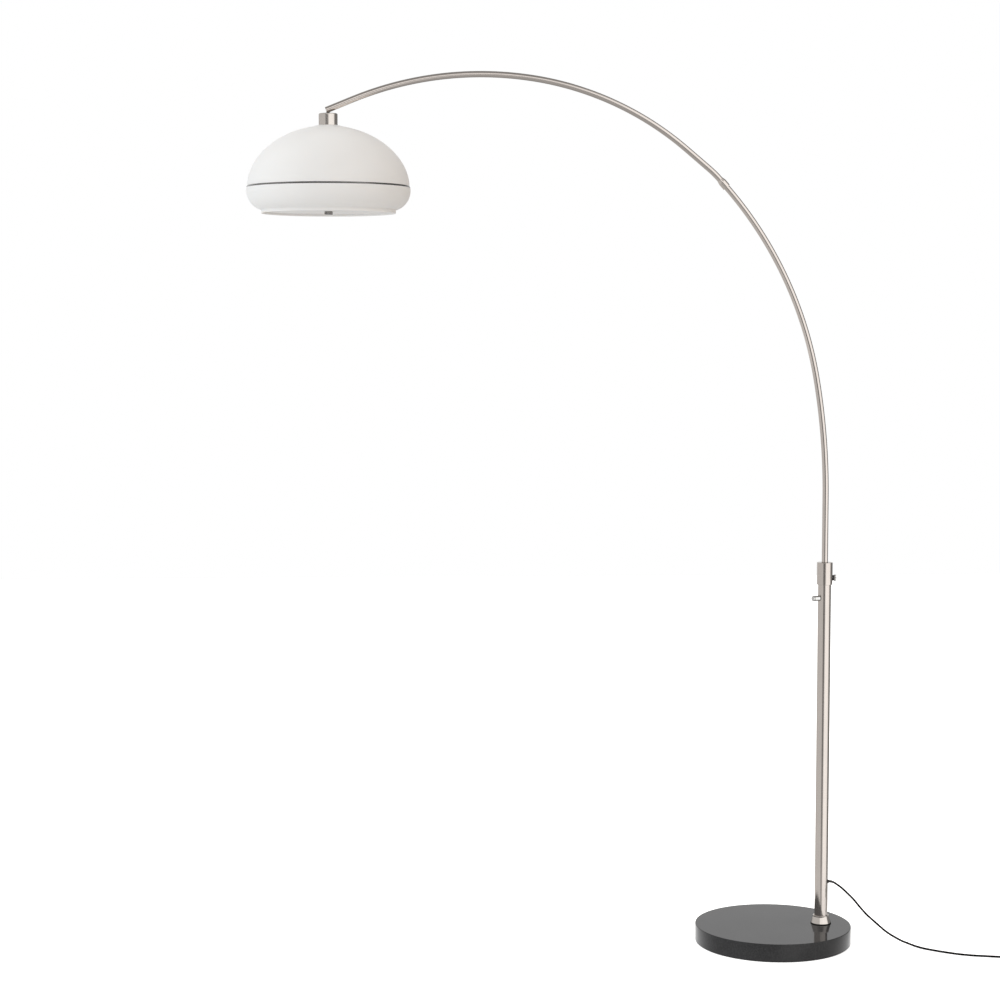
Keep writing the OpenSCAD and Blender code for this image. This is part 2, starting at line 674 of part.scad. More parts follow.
module each_lamp() {
    for (i = [0:lamp_count - 1]) on_shade(hub_z) rotate([0, 0, 360 * i / lamp_count]) rotate([0, 90, 0])
        children();
}

module lampholders() color([0.9, 0.9, 0.88]) each_lamp() difference() {
    union() {
        translate([0, 0, holder_start]) cylinder(d = 10, h = 8);
        translate([0, 0, hub_d / 2]) cylinder(d = holder_d, h = holder_end - hub_d / 2);
    }
    translate([0, 0, holder_start - 1]) cylinder(d = 6, h = holder_len);
    translate([0, 0, holder_end - bulb_seat]) cylinder(d = bulb_neck, h = bulb_seat + 1);
}

module bulbs() color([0.97, 0.96, 0.92]) each_lamp()
    translate([0, 0, holder_end - bulb_seat]) rotate_extrude()
    polygon(concat([[0, 0], [bulb_neck / 2 - 1, 2], [bulb_neck / 2, 4], [bulb_neck / 2, bulb_seat],
        [bulb_neck / 2 + 2, bulb_seat + 2]], [for (i = [-5:9]) let (a = 10 * i)
        [bulb_d / 2 * cos(a), bulb_seat + bulb_len - bulb_d / 2 * (1 - sin(a))]]));

module stop_nut() color("silver")
    on_shade(diffuser_z + diffuser_t + seat_gap) hex_nut(rod_d + 7, nut_t, rod_d);

module diffuser() color([0.93, 0.93, 0.92]) on_shade(diffuser_z)
    washer(2 * (rim_r - shade_wall - 2 * apart), rod_d + 2 * apart, diffuser_t, $fn = 180);

module finial() color([0.7, 0.7, 0.7]) on_shade(diffuser_z - finial_h) difference() {
    rotate_extrude() polygon([[0, 0], [finial_d / 2 - 1, 0], [finial_d / 2, 1],
        [finial_d / 2, finial_h - 0.6], [finial_d / 2 - 0.6, finial_h - 0.1], [0, finial_h - 0.1]]);
    translate([0, 0, 1.9]) cylinder(d = rod_d + 2 * run_fit, h = finial_h);
}

base_stone();
base_felt();
base_bolt();
base_washer();
foot_gasket();
foot_cone();
pole_tube();
pole_plug();
pole_sleeve();
arm_socket();
clamp_pad();
clamp_screw();
switch_body();
switch_nut();
switch_knob();
pole_lead();
strain_relief();
mains_cord();
cord_coil();
cord_tail();
cord_tie();
plug_body();
plug_pins();
lower_arm_tube();
coupling_pin();
arm_ferrule();
upper_arm_tube();
arm_end_plug();
arm_lead();
tip_nipple();
shade_cap();
rod_coupler();
hanging_rod();
dome_washer();
dome_nut();
shade_dome();
trim_ring();
shade_bowl();
lamp_hub();
hub_nut();
lampholders();
bulbs();
stop_nut();
diffuser();
finial();
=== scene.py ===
"""Arc floor lamp: camera, light, finishes and finished meshes around the lamp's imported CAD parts."""
import json
import logging
import math
from dataclasses import dataclass
from enum import Enum
from typing import Any, Iterable, Mapping, Sequence

import bmesh
import bpy
from mathutils import Matrix, Vector


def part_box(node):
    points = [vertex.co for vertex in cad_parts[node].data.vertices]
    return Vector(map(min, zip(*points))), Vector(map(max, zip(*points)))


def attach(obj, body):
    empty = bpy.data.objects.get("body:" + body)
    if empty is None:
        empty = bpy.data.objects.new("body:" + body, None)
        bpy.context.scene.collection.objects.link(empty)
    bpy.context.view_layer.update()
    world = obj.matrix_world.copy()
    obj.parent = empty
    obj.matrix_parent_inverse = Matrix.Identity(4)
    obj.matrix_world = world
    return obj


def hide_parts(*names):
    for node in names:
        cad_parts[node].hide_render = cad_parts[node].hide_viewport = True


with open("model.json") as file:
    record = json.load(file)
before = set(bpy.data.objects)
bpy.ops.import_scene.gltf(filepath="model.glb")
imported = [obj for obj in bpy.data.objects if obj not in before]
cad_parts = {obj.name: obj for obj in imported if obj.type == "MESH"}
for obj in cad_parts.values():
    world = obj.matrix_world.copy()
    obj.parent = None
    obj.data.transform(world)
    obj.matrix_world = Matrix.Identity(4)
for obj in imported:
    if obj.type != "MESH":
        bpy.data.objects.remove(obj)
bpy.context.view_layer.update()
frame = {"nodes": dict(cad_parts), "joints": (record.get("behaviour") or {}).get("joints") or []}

LOG = logging.getLogger("arc_lamp")
MM = 0.001
UP = Vector((0.0, 0.0, 1.0))
RIGHTWARD = Vector((1.0, 0.0, 0.0))
BLACK = (0.0, 0.0, 0.0)
WHITE = (1.0, 1.0, 1.0)
SHARP = math.radians(38)
WELD = 1e-7
CHORD_ERROR = 0.03 * MM
GRAIN = "grain"
Colour = tuple[float, float, float]
Corner = tuple[float, float, float]
Point2 = tuple[float, float]
Values = Mapping[Any, Any]
NOTHING: Values = {}


class Body(Enum):
    """The lamp's rigid bodies, by the names that the frame uses."""

    STAND = "stand"
    SWITCH = "switch"
    CLAMP_TIP = "clamp_tip"
    CLAMP = "clamp"
    ARM = "arm"
    DIFFUSER = "diffuser_plate"
    FINIAL = "finial_nut"


class Slot(Enum):
    """The record's material slots."""

    STONE = "stone"
    FELT = "felt"
    NICKEL = "nickel"
    BRIGHT = "bright"
    BAND = "band"
    ZINC = "zinc"
    OPAL = "opal"
    WHITE_PLASTIC = "white_plastic"
    BULB = "bulb"
    BLACK_PLASTIC = "black_plastic"
    CORD = "cord"
    STRAP = "strap"
    PINS = "pins"


# ---- Shader bench -------------------------------------------------------------------------


class Wire:
    """A socket in a node tree that takes part in Python arithmetic on values."""

    def __init__(self, bench: "Bench", socket: bpy.types.NodeSocket) -> None:
        """Keeps the bench that the socket belongs to, and the socket."""
        self.bench = bench
        self.socket = socket

    def _math(self, operation: str, *values: Any) -> "Wire":
        """Adds one Math node.

        Args:
            operation: the Math node's operation.
            values: numbers or wires for its sockets, in order.

        Returns:
            The node's result.
        """
        return self.bench.add("ShaderNodeMath", {"operation": operation}, dict(enumerate(values)))

    def __add__(self, other: Any) -> "Wire":
        """Adds a value."""
        return self._math("ADD", self, other)

    def __radd__(self, other: Any) -> "Wire":
        """Adds to a value."""
        return self._math("ADD", other, self)

    def __sub__(self, other: Any) -> "Wire":
        """Takes a value away."""
        return self._math("SUBTRACT", self, other)

    def __rsub__(self, other: Any) -> "Wire":
        """Is taken away from a value."""
        return self._math("SUBTRACT", other, self)

    def __mul__(self, other: Any) -> "Wire":
        """Multiplies by a value."""
        return self._math("MULTIPLY", self, other)

    def __rmul__(self, other: Any) -> "Wire":
        """Multiplies a value."""
        return self._math("MULTIPLY", other, self)

    def __truediv__(self, other: Any) -> "Wire":
        """Divides by a value."""
        return self._math("DIVIDE", self, other)

    def __rtruediv__(self, other: Any) -> "Wire":
        """Divides a value."""
        return self._math("DIVIDE", other, self)

    def __pow__(self, other: Any) -> "Wire":
        """Raises to a power."""
        return self._math("POWER", self, other)

    def __rpow__(self, other: Any) -> "Wire":
        """Is the power that a value is raised to."""
        return self._math("POWER", other, self)

    def step(self, low: float, high: float) -> "Wire":
        """Rises smoothly from 0 at low to 1 at high."""
        sockets = {"Value": self, "From Min": low, "From Max": high}
        return self.bench.add("ShaderNodeMapRange", {"interpolation_type": "SMOOTHSTEP"}, sockets)


class Bench:
    """A node tree being wired, with one method for every kind of node."""

    def __init__(self, tree: bpy.types.NodeTree) -> None:
        """Clears the tree and keeps it."""
        self.tree = tree
        tree.nodes.clear()

    def add(self, kind: str, settings: Values = NOTHING, sockets: Values = NOTHING, out: Any = 0) -> Wire:
        """Adds a node.

        Args:
            kind: the node's type.
            settings: its properties, set first; "stops" holds a ramp's (place, colour) pairs.
            sockets: values or wires for its inputs, by name or number.
            out: the name or number of the output that is wanted.

        Returns:
            That output, as a wire.
        """
        node = self.tree.nodes.new(kind)
        for name, value in settings.items():
            if name == "stops":
                self._set_stops(node.color_ramp, value)
            else:
                setattr(node, name, value)
        for key, value in sockets.items():
            if isinstance(value, Wire):
                self.tree.links.new(value.socket, node.inputs[key])
            else:
                node.inputs[key].default_value = value
        return Wire(self, node.outputs[out] if len(node.outputs) else None)

    @staticmethod
    def _set_stops(ramp: bpy.types.ColorRamp, stops: Sequence[tuple[float, Colour]]) -> None:
        """Gives a colour ramp its stops."""
        while len(ramp.elements) > 1:
            ramp.elements.remove(ramp.elements[-1])
        ramp.elements[0].position = stops[0][0]
        ramp.elements[0].color = (*stops[0][1], 1.0)
        for place, colour in stops[1:]:
            ramp.elements.new(place).color = (*colour, 1.0)

    def noise(self, vector: Wire, scale: float, detail: float = 2.0, rough: float = 0.5) -> Wire:
        """Adds a noise texture and returns its value from 0 to 1."""
        sockets = {"Vector": vector, "Scale": scale, "Detail": detail, "Roughness": rough}
        return self.add("ShaderNodeTexNoise", {}, sockets, "Fac")

    def blend(self, factor: Any, low: Any, high: Any) -> Wire:
        """Mixes two colours.

        Args:
            factor: 0 gives low and 1 gives high.
            low: a colour or wire.
            high: a colour or wire.

        Returns:
            The mixed colour.
        """
        ends = [value if isinstance(value, Wire) else (*value, 1.0) for value in (low, high)]
        return self.add("ShaderNodeMix", {"data_type": "RGBA"}, {0: factor, 6: ends[0], 7: ends[1]}, 2)

    def stretch(self, vector: Wire, scale: Corner) -> Wire:
        """Scales a vector along each axis."""
        return self.add("ShaderNodeVectorMath", {"operation": "MULTIPLY"}, {0: vector, 1: scale})

    def place(self) -> Wire:
        """Returns the object's own coordinates."""
        return self.add("ShaderNodeTexCoord", out="Object")

    def grain(self) -> Wire:
        """Returns the place on a piece in its maker's frame: across, across and along its axis."""
        return self.add("ShaderNodeAttribute", {"attribute_name": GRAIN}, {}, "Vector")

    def bump(self, height: Wire, strength: float, distance: float) -> Wire:
        """Adds a Bump node and returns its normal."""
        return self.add("ShaderNodeBump", {}, {"Height": height, "Strength": strength, "Distance": distance})


# ---- Finishes ------------------------------------------------------------------------------


def shade_of(colour: Colour, share: float) -> list[float]:
    """Returns a colour made lighter or darker by a share."""
    return [share * c for c in colour]


@dataclass(frozen=True)
class Finish:
    """What every finish has: a name and the constants that its shader's sockets take."""

    name: str
    colour: Colour
    rough: float

    def constants(self) -> dict[str, Any]:
        """Returns the shader's constant sockets; finishes add their own."""
        return {}

    def varying(self, bench: Bench) -> dict[str, Any]:
        """Returns the shader's textured sockets; finishes replace this.

        Args:
            bench: the material's node tree.

        Returns:
            Sockets by name.
        """
        return {}

    def material(self) -> bpy.types.Material:
        """Makes the material the first time and finds it again later."""
        known = bpy.data.materials.get(self.name)
        if known:
            return known
        made = bpy.data.materials.new(self.name)
        made.use_nodes = True
        bench = Bench(made.node_tree)
        sockets = {"Base Color": (*self.colour, 1.0), "Roughness": self.rough}
        sockets.update(self.constants())
        sockets.update(self.varying(bench))
        shader = bench.add("ShaderNodeBsdfPrincipled", {}, sockets)
        bench.add("ShaderNodeOutputMaterial", {}, {"Surface": shader})
        return made


@dataclass(frozen=True)
class BrushedMetal(Finish):
    """Plated metal polished with a belt, so fine lines run round each tube."""

    line: float = 0.10
    around: float = 60.0
    along: float = 5200.0

    def constants(self) -> dict[str, Any]:
        """Metal."""
        return {"Metallic": 1.0}

    def varying(self, bench: Bench) -> dict[str, Any]:
        """Fine lines in the roughness and a slow drift in the plating's tone."""
        grain = bench.grain()
        lines = bench.noise(bench.stretch(grain, (self.around, self.around, self.along)), 1.0, 3.0, 0.6)
        drift = bench.noise(grain, 14.0, 2.0)
        tone = bench.blend(drift.step(0.3, 0.7), shade_of(self.colour, 0.97), shade_of(self.colour, 1.02))
        tone = bench.blend(lines.step(0.35, 0.65) * 0.06, tone, shade_of(self.colour, 0.82))
        return {
            "Base Color": tone,
            "Roughness": self.rough + self.line * (lines - 0.5) + 0.04 * (drift - 0.5),
            "Normal": bench.bump(lines, 0.3, 0.00002),
        }


@dataclass(frozen=True)
class BrightPlate(Finish):
    """Mirror plating over a lightly polished casting."""

    def constants(self) -> dict[str, Any]:
        """Metal, with a low coat roughness; the coat's weight stays at none."""
        return {"Metallic": 1.0, "Coat Roughness": 0.03}

    def varying(self, bench: Bench) -> dict[str, Any]:
        """A faint haze and the slight waviness that buffing leaves."""
        haze = bench.noise(bench.place(), 320.0, 3.0)
        wave = bench.noise(bench.place(), 90.0, 1.0)
        return {
            "Base Color": bench.blend(haze.step(0.35, 0.7), self.colour, shade_of(self.colour, 0.94)),
            "Roughness": self.rough + 0.05 * haze.step(0.45, 0.75),
            "Normal": bench.bump(wave, 0.08, 0.00008),
        }


@dataclass(frozen=True)
class ZincPlate(Finish):
    """Dull zinc on the steel pieces inside, with the spangle of the plating bath."""

    def constants(self) -> dict[str, Any]:
        """Metal."""
        return {"Metallic": 1.0}

    def varying(self, bench: Bench) -> dict[str, Any]:
        """Small patches of two tones with rougher borders."""
        cells = bench.add("ShaderNodeTexVoronoi", {}, {"Vector": bench.place(), "Scale": 240.0}, "Distance")
        cloud = bench.noise(bench.place(), 70.0, 3.0)
        tone = bench.blend(cloud.step(0.35, 0.65), shade_of(self.colour, 0.86), self.colour)
        return {
            "Base Color": tone,
            "Roughness": self.rough + 0.12 * cells + 0.08 * (cloud - 0.5),
            "Normal": bench.bump(cells, 0.12, 0.00008),
        }


@dataclass(frozen=True)
class PolishedStone(Finish):
    """Fine-grained dark stone, honed and polished, with small crystals and faint clouds."""

    crystal: Colour = (0.085, 0.086, 0.09)
    deep: Colour = (0.015, 0.015, 0.016)

    def constants(self) -> dict[str, Any]:
        """The polish's refraction."""
        return {"IOR": 1.4}

    def varying(self, bench: Bench) -> dict[str, Any]:
        """Crystals a millimetre across, darker minerals between them, and pores in the polish."""
        place = bench.place()
        cells = {"Vector": place, "Scale": 900.0, "Randomness": 1.0}
        crystals = bench.add("ShaderNodeTexVoronoi", {}, cells, "Distance")
        pick = bench.noise(place, 620.0, 2.0)
        cloud = bench.noise(place, 9.0, 4.0)
        minerals = bench.noise(place, 260.0, 4.0, 0.65)
        base = bench.blend(minerals.step(0.42, 0.62), self.deep, self.colour)
        base = bench.blend(cloud.step(0.35, 0.7) * 0.5, base, shade_of(self.colour, 1.5))
        flecks = (1 - crystals.step(0.12, 0.3)) * pick.step(0.56, 0.66)
        pores = minerals.step(0.68, 0.74)
        return {
            "Base Color": bench.blend(flecks * 0.22, base, self.crystal),
            "Roughness": self.rough + 0.04 * cloud.step(0.4, 0.7) + 0.12 * pores,
            "Normal": bench.bump(pores, 0.05, 0.00004),
        }


@dataclass(frozen=True)
class OpalAcrylic(Finish):
    """White opal acrylic with a satin skin, faintly uneven from the mould."""

    def constants(self) -> dict[str, Any]:
        """Light spreads a few millimetres under the skin."""
        return {
            "Subsurface Weight": 0.25,
            "Subsurface Radius": (1.0, 0.9, 0.8),
            "Subsurface Scale": 0.004,
            "IOR": 1.49,
        }

    def varying(self, bench: Bench) -> dict[str, Any]:
        """A slow drift in whiteness and fine orange peel."""
        place = bench.place()
        drift = bench.noise(place, 6.0, 3.0)
        peel = bench.noise(place, 420.0, 2.0)
        return {
            "Base Color": bench.blend(drift.step(0.3, 0.7), shade_of(self.colour, 0.975), self.colour),
            "Roughness": self.rough + 0.06 * (drift - 0.5),
            "Normal": bench.bump(peel, 0.05, 0.00005),
        }


@dataclass(frozen=True)
class MouldedPlastic(Finish):
    """Moulded plastic with a fine spark-eroded texture."""

    texture: float = 900.0
    depth: float = 0.2
    shine: float = 0.5

    def constants(self) -> dict[str, Any]:
        """How strongly the skin mirrors."""
        return {"Specular IOR Level": self.shine}

    def varying(self, bench: Bench) -> dict[str, Any]:
        """Grain from the mould and a slightly worn sheen."""
        grain = bench.noise(bench.place(), self.texture, 3.0)
        wear = bench.noise(bench.place(), 60.0, 2.0)
        tone = bench.blend(wear.step(0.4, 0.7), self.colour, shade_of(self.colour, 1.15))
        return {
            "Base Color": tone,
            "Roughness": self.rough + 0.10 * (wear - 0.5) + 0.06 * (grain - 0.5),
            "Normal": bench.bump(grain, self.depth, 0.00008),
        }


@dataclass(frozen=True)
class Felt(Finish):
    """Pressed felt under the base."""

    def constants(self) -> dict[str, Any]:
        """Fibres that catch light at a low angle."""
        return {"Sheen Weight": 0.02, "Sheen Roughness": 0.5, "Specular IOR Level": 0.1}

    def varying(self, bench: Bench) -> dict[str, Any]:
        """Matted fibres and small lumps."""
        place = bench.place()
        fibres = bench.noise(bench.stretch(place, (1.0, 2.6, 1.0)), 900.0, 5.0, 0.7)
        lumps = bench.noise(place, 160.0, 3.0)
        tone = bench.blend(fibres.step(0.3, 0.7), shade_of(self.colour, 0.5), shade_of(self.colour, 1.9))
        return {"Base Color": tone, "Normal": bench.bump(fibres + 0.5 * lumps, 0.6, 0.0003)}


NICKEL = BrushedMetal("brushed_nickel", (0.73, 0.665, 0.615), 0.13, 0.08)
CAP_NICKEL = BrushedMetal("brushed_nickel_cap", (0.73, 0.675, 0.625), 0.15, 0.1, 60.0, 4200.0)
BRIGHT = BrightPlate("bright_nickel", (0.80, 0.79, 0.77), 0.08)
# The band's plating is much darker than bright nickel: painted shade and dark reflection standing in for the
# chrome band.
BAND_SHADED_PLATE = BrightPlate("band_plating_painted_shade", (0.30, 0.29, 0.285), 0.14)
SCREW_PLATE = BrightPlate("screw_plating", (0.86, 0.85, 0.83), 0.32)
# The finial's plating is much darker than bright nickel: painted shade and dark reflection standing in for
# the chrome nut under the shade.
FINIAL_SHADED_PLATE = BrightPlate("finial_plating_painted_shade", (0.32, 0.31, 0.30), 0.12)
ZINC = ZincPlate("zinc_plate", (0.56, 0.57, 0.58), 0.34)
BRASS = BrightPlate("plated_brass", (0.72, 0.66, 0.52), 0.16)
STONE = PolishedStone("polished_stone", (0.025, 0.025, 0.026), 0.055)
OPAL = OpalAcrylic("opal_acrylic", (0.80, 0.797, 0.79), 0.42)
DIFFUSER_OPAL = OpalAcrylic("diffuser_opal", (0.78, 0.775, 0.765), 0.5)
BULB_OPAL = OpalAcrylic("bulb_opal", (0.88, 0.87, 0.84), 0.3)
WHITE_PLASTIC = MouldedPlastic("white_plastic", (0.74, 0.74, 0.72), 0.42, 700.0, 0.1)
BLACK_PLASTIC = MouldedPlastic("black_plastic", (0.018, 0.018, 0.019), 0.42)
STRAP_PLASTIC = MouldedPlastic("strap_plastic", (0.03, 0.03, 0.032), 0.5, 1400.0, 0.3)
CORD_SKIN = MouldedPlastic("cord_skin", (0.004, 0.004, 0.0043), 0.6, 1100.0, 0.12, 0.12)
FELT = Felt("pressed_felt", (0.008, 0.008, 0.0085), 0.95)
# Near-black skin of the ring under the foot cone: painted shade for the contact shadow where cone meets
# stone.
FOOT_SHADE_BLACK = MouldedPlastic("foot_shade_black", (0.004, 0.004, 0.0043), 0.7, 800.0, 0.2, 0.15)


# ---- Workshop ------------------------------------------------------------------------------


def arc(middle: Point2, radius: float, start: float, stop: float, steps: int = 8) -> list[Point2]:
    """Works out points on a circular arc.

    Args:
        middle: the arc's centre.
        radius: its radius.
        start: the first angle in degrees.
        stop: the last angle in degrees.
        steps: how many chords it has.

    Returns:
        The points, both ends included.
    """
    turns = [math.radians(start + (stop - start) * i / steps) for i in range(steps + 1)]
    return [(middle[0] + radius * math.cos(a), middle[1] + radius * math.sin(a)) for a in turns]


def eased(corners: Sequence[Corner], steps: int = 4) -> list[Point2]:
    """Rounds the corners of a closed outline.

    Args:
        corners: each corner's two places and its radius.
        steps: chords in each round.

    Returns:
        The outline's points.
    """
    points: list[Point2] = []
    for i, (x, y, radius) in enumerate(corners):
        here = Vector((x, y))
        back = Vector(corners[i - 1][:2]) - here
        on = Vector(corners[(i + 1) % len(corners)][:2]) - here
        if radius <= 0:
            points.append((x, y))
            continue
        half = back.angle(on) / 2
        reach = min(radius / math.tan(half), 0.49 * back.length, 0.49 * on.length)
        radius = reach * math.tan(half)
        middle = here + (back.normalized() + on.normalized()).normalized() * (radius / math.sin(half))
        first = here + back.normalized() * reach - middle
        turn = first.angle_signed(here + on.normalized() * reach - middle)
        for k in range(steps + 1):
            spoke = Matrix.Rotation(-turn * k / steps, 2) @ first
            points.append(tuple(middle + spoke))
    return points


def standing(axis: Vector, at: Vector) -> Matrix:
    """Returns the transform that stands local +Z along axis, with the origin at a place."""
    return Matrix.Translation(at) @ axis.to_track_quat("Z", "Y").to_matrix().to_4x4()


class Workpiece:
    """A mesh being made with bmesh operators, and what happens to it once it is done."""

    def __init__(self, name: str) -> None:
        """Starts an empty mesh with the grain layer that brushed finishes read."""
        self.name = name
        self.bm = bmesh.new()
        self.grain = self.bm.verts.layers.float_vector.new(GRAIN)

    def turn(
        self, outline: Sequence[Point2], place: Matrix, steps: int = 96, closed: bool = True
    ) -> "Workpiece":
        """Turns an outline about the local Z axis, as on a lathe.

        Args:
            outline: (radius, height) points; an open outline ends on the axis.
            place: where the turned shape goes.
            steps: how many facets go round.
            closed: whether the last point joins the first.

        Returns:
            The workpiece.
        """
        return self.settle(self.lathe(outline, steps, closed), place)

    def lathe(self, outline: Sequence[Point2], steps: int, closed: bool) -> list[bmesh.types.BMVert]:
        """Spins an outline about the local Z axis and welds its seam.

        Args:
            outline: (radius, height) points.
            steps: how many facets go round.
            closed: whether the last point joins the first.

        Returns:
            The vertices that it made.
        """
        known = set(self.bm.verts)
        verts = [self.bm.verts.new((r, 0.0, z)) for r, z in outline]
        edges = [self.bm.edges.new(pair) for pair in zip(verts, verts[1:])]
        if closed:
            edges.append(self.bm.edges.new((verts[-1], verts[0])))
        whole = {"cent": (0.0, 0.0, 0.0), "axis": UP, "angle": math.tau, "steps": steps, "use_merge": True}
        bmesh.ops.spin(self.bm, geom=verts + edges, **whole)
        made = [v for v in self.bm.verts if v not in known]
        bmesh.ops.remove_doubles(self.bm, verts=made, dist=WELD)
        return [v for v in self.bm.verts if v not in known]

    def settle(self, verts: Sequence[bmesh.types.BMVert], place: Matrix) -> "Workpiece":
        """Notes each vertex's place in the maker's frame as its grain, then puts it where it goes."""
        for v in verts:
            v[self.grain] = v.co
        bmesh.ops.transform(self.bm, matrix=place, verts=verts)
        return self

    def ring(self, radius: float, place: Matrix, sides: int) -> list[bmesh.types.BMEdge]:
        """Makes an open circle.

        Args:
            radius: its radius.
            place: where its middle and its axis go.
            sides: how many edges it has.

        Returns:
            Its edges.
        """
        made = bmesh.ops.create_circle(self.bm, cap_ends=False, segments=sides, radius=radius, matrix=place)
        return list({e for v in made["verts"] for e in v.link_edges})

    def flute(self, low: float, high: float, beyond: float, depth: float, place: Matrix) -> "Workpiece":
        """Draws every second meridian inwards, which leaves straight knurling on a rim.

        Args:
            low: the knurl's lower height in the maker's frame.
            high: its upper height.
            beyond: only vertices further out than this move.
            depth: how far they move in.
            place: where the maker's frame stands.

        Returns:
            The workpiece.
        """
        home = place.inverted()
        rim = [v for v in self.bm.verts if v[self.grain].xy.length > beyond and low < v[self.grain].z < high]
        order = sorted({round(math.atan2(v[self.grain].y, v[self.grain].x), 4) for v in rim})
        dips = {turn for i, turn in enumerate(order) if i % 2}
        for v in rim:
            if round(math.atan2(v[self.grain].y, v[self.grain].x), 4) in dips:
                local = home @ v.co
                local.xy -= local.xy.normalized() * depth
                v.co = place @ local
        return self

    def finish(
        self, finish: Finish, body: Body, slot: Slot, nodes: Sequence[str] = (), weighted: bool = True
    ) -> bpy.types.Object:
        """Makes the object, dresses it and hangs it on its body.

        Args:
            finish: its material.
            body: the body that it moves with.
            slot: the record's slot for it; not used.
            nodes: the CAD nodes that it stands for.
            weighted: whether large faces set the shading at eased edges.

        Returns:
            The object.
        """
        bmesh.ops.recalc_face_normals(self.bm, faces=self.bm.faces)
        mesh = bpy.data.meshes.new(self.name)
        self.bm.to_mesh(mesh)
        self.bm.free()
        mesh.shade_smooth()
        mesh.set_sharp_from_angle(angle=SHARP)
        piece = bpy.data.objects.new(self.name, mesh)
        bpy.context.collection.objects.link(piece)
        if weighted:
            piece.modifiers.new("even_shading", "WEIGHTED_NORMAL").keep_sharp = True
        return hand_over(piece, finish, body, nodes)


def hand_over(
    piece: bpy.types.Object, finish: Finish, body: Body, nodes: Sequence[str]
) -> bpy.types.Object:
    """Dresses a piece, hangs it on its body and hides the CAD nodes that it stands for.

    Args:
        piece: the object.
        finish: its material.
        body: the body that it moves with.
        nodes: the CAD nodes that it stands for.

    Returns:
        The object.
    """
    piece.data.materials.append(finish.material())
    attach(piece, body.value)
    if nodes:
        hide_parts(*nodes)
    LOG.info("%s: %s on %s", piece.name, finish.name, body.value)
    return piece


def dress(finish: Finish, nodes: Iterable[str]) -> None:
    """Gives CAD nodes that keep their own mesh a finish.

    Args:
        finish: the material.
        nodes: the nodes' names.
    """
    for name in nodes:
        node = frame["nodes"][name]
        node.data.materials.clear()
        node.data.materials.append(finish.material())
        LOG.info("%s: %s", name, finish.name)


def low(node: str) -> Vector:
    """Returns a CAD node's lowest corner."""
    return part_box(node)[0]


def high(node: str) -> Vector:
    """Returns a CAD node's highest corner."""
    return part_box(node)[1]


def middle(node: str) -> Vector:
    """Returns the middle of a CAD node's box."""
    return (low(node) + high(node)) / 2


# ---- Base ----------------------------------------------------------------------------------


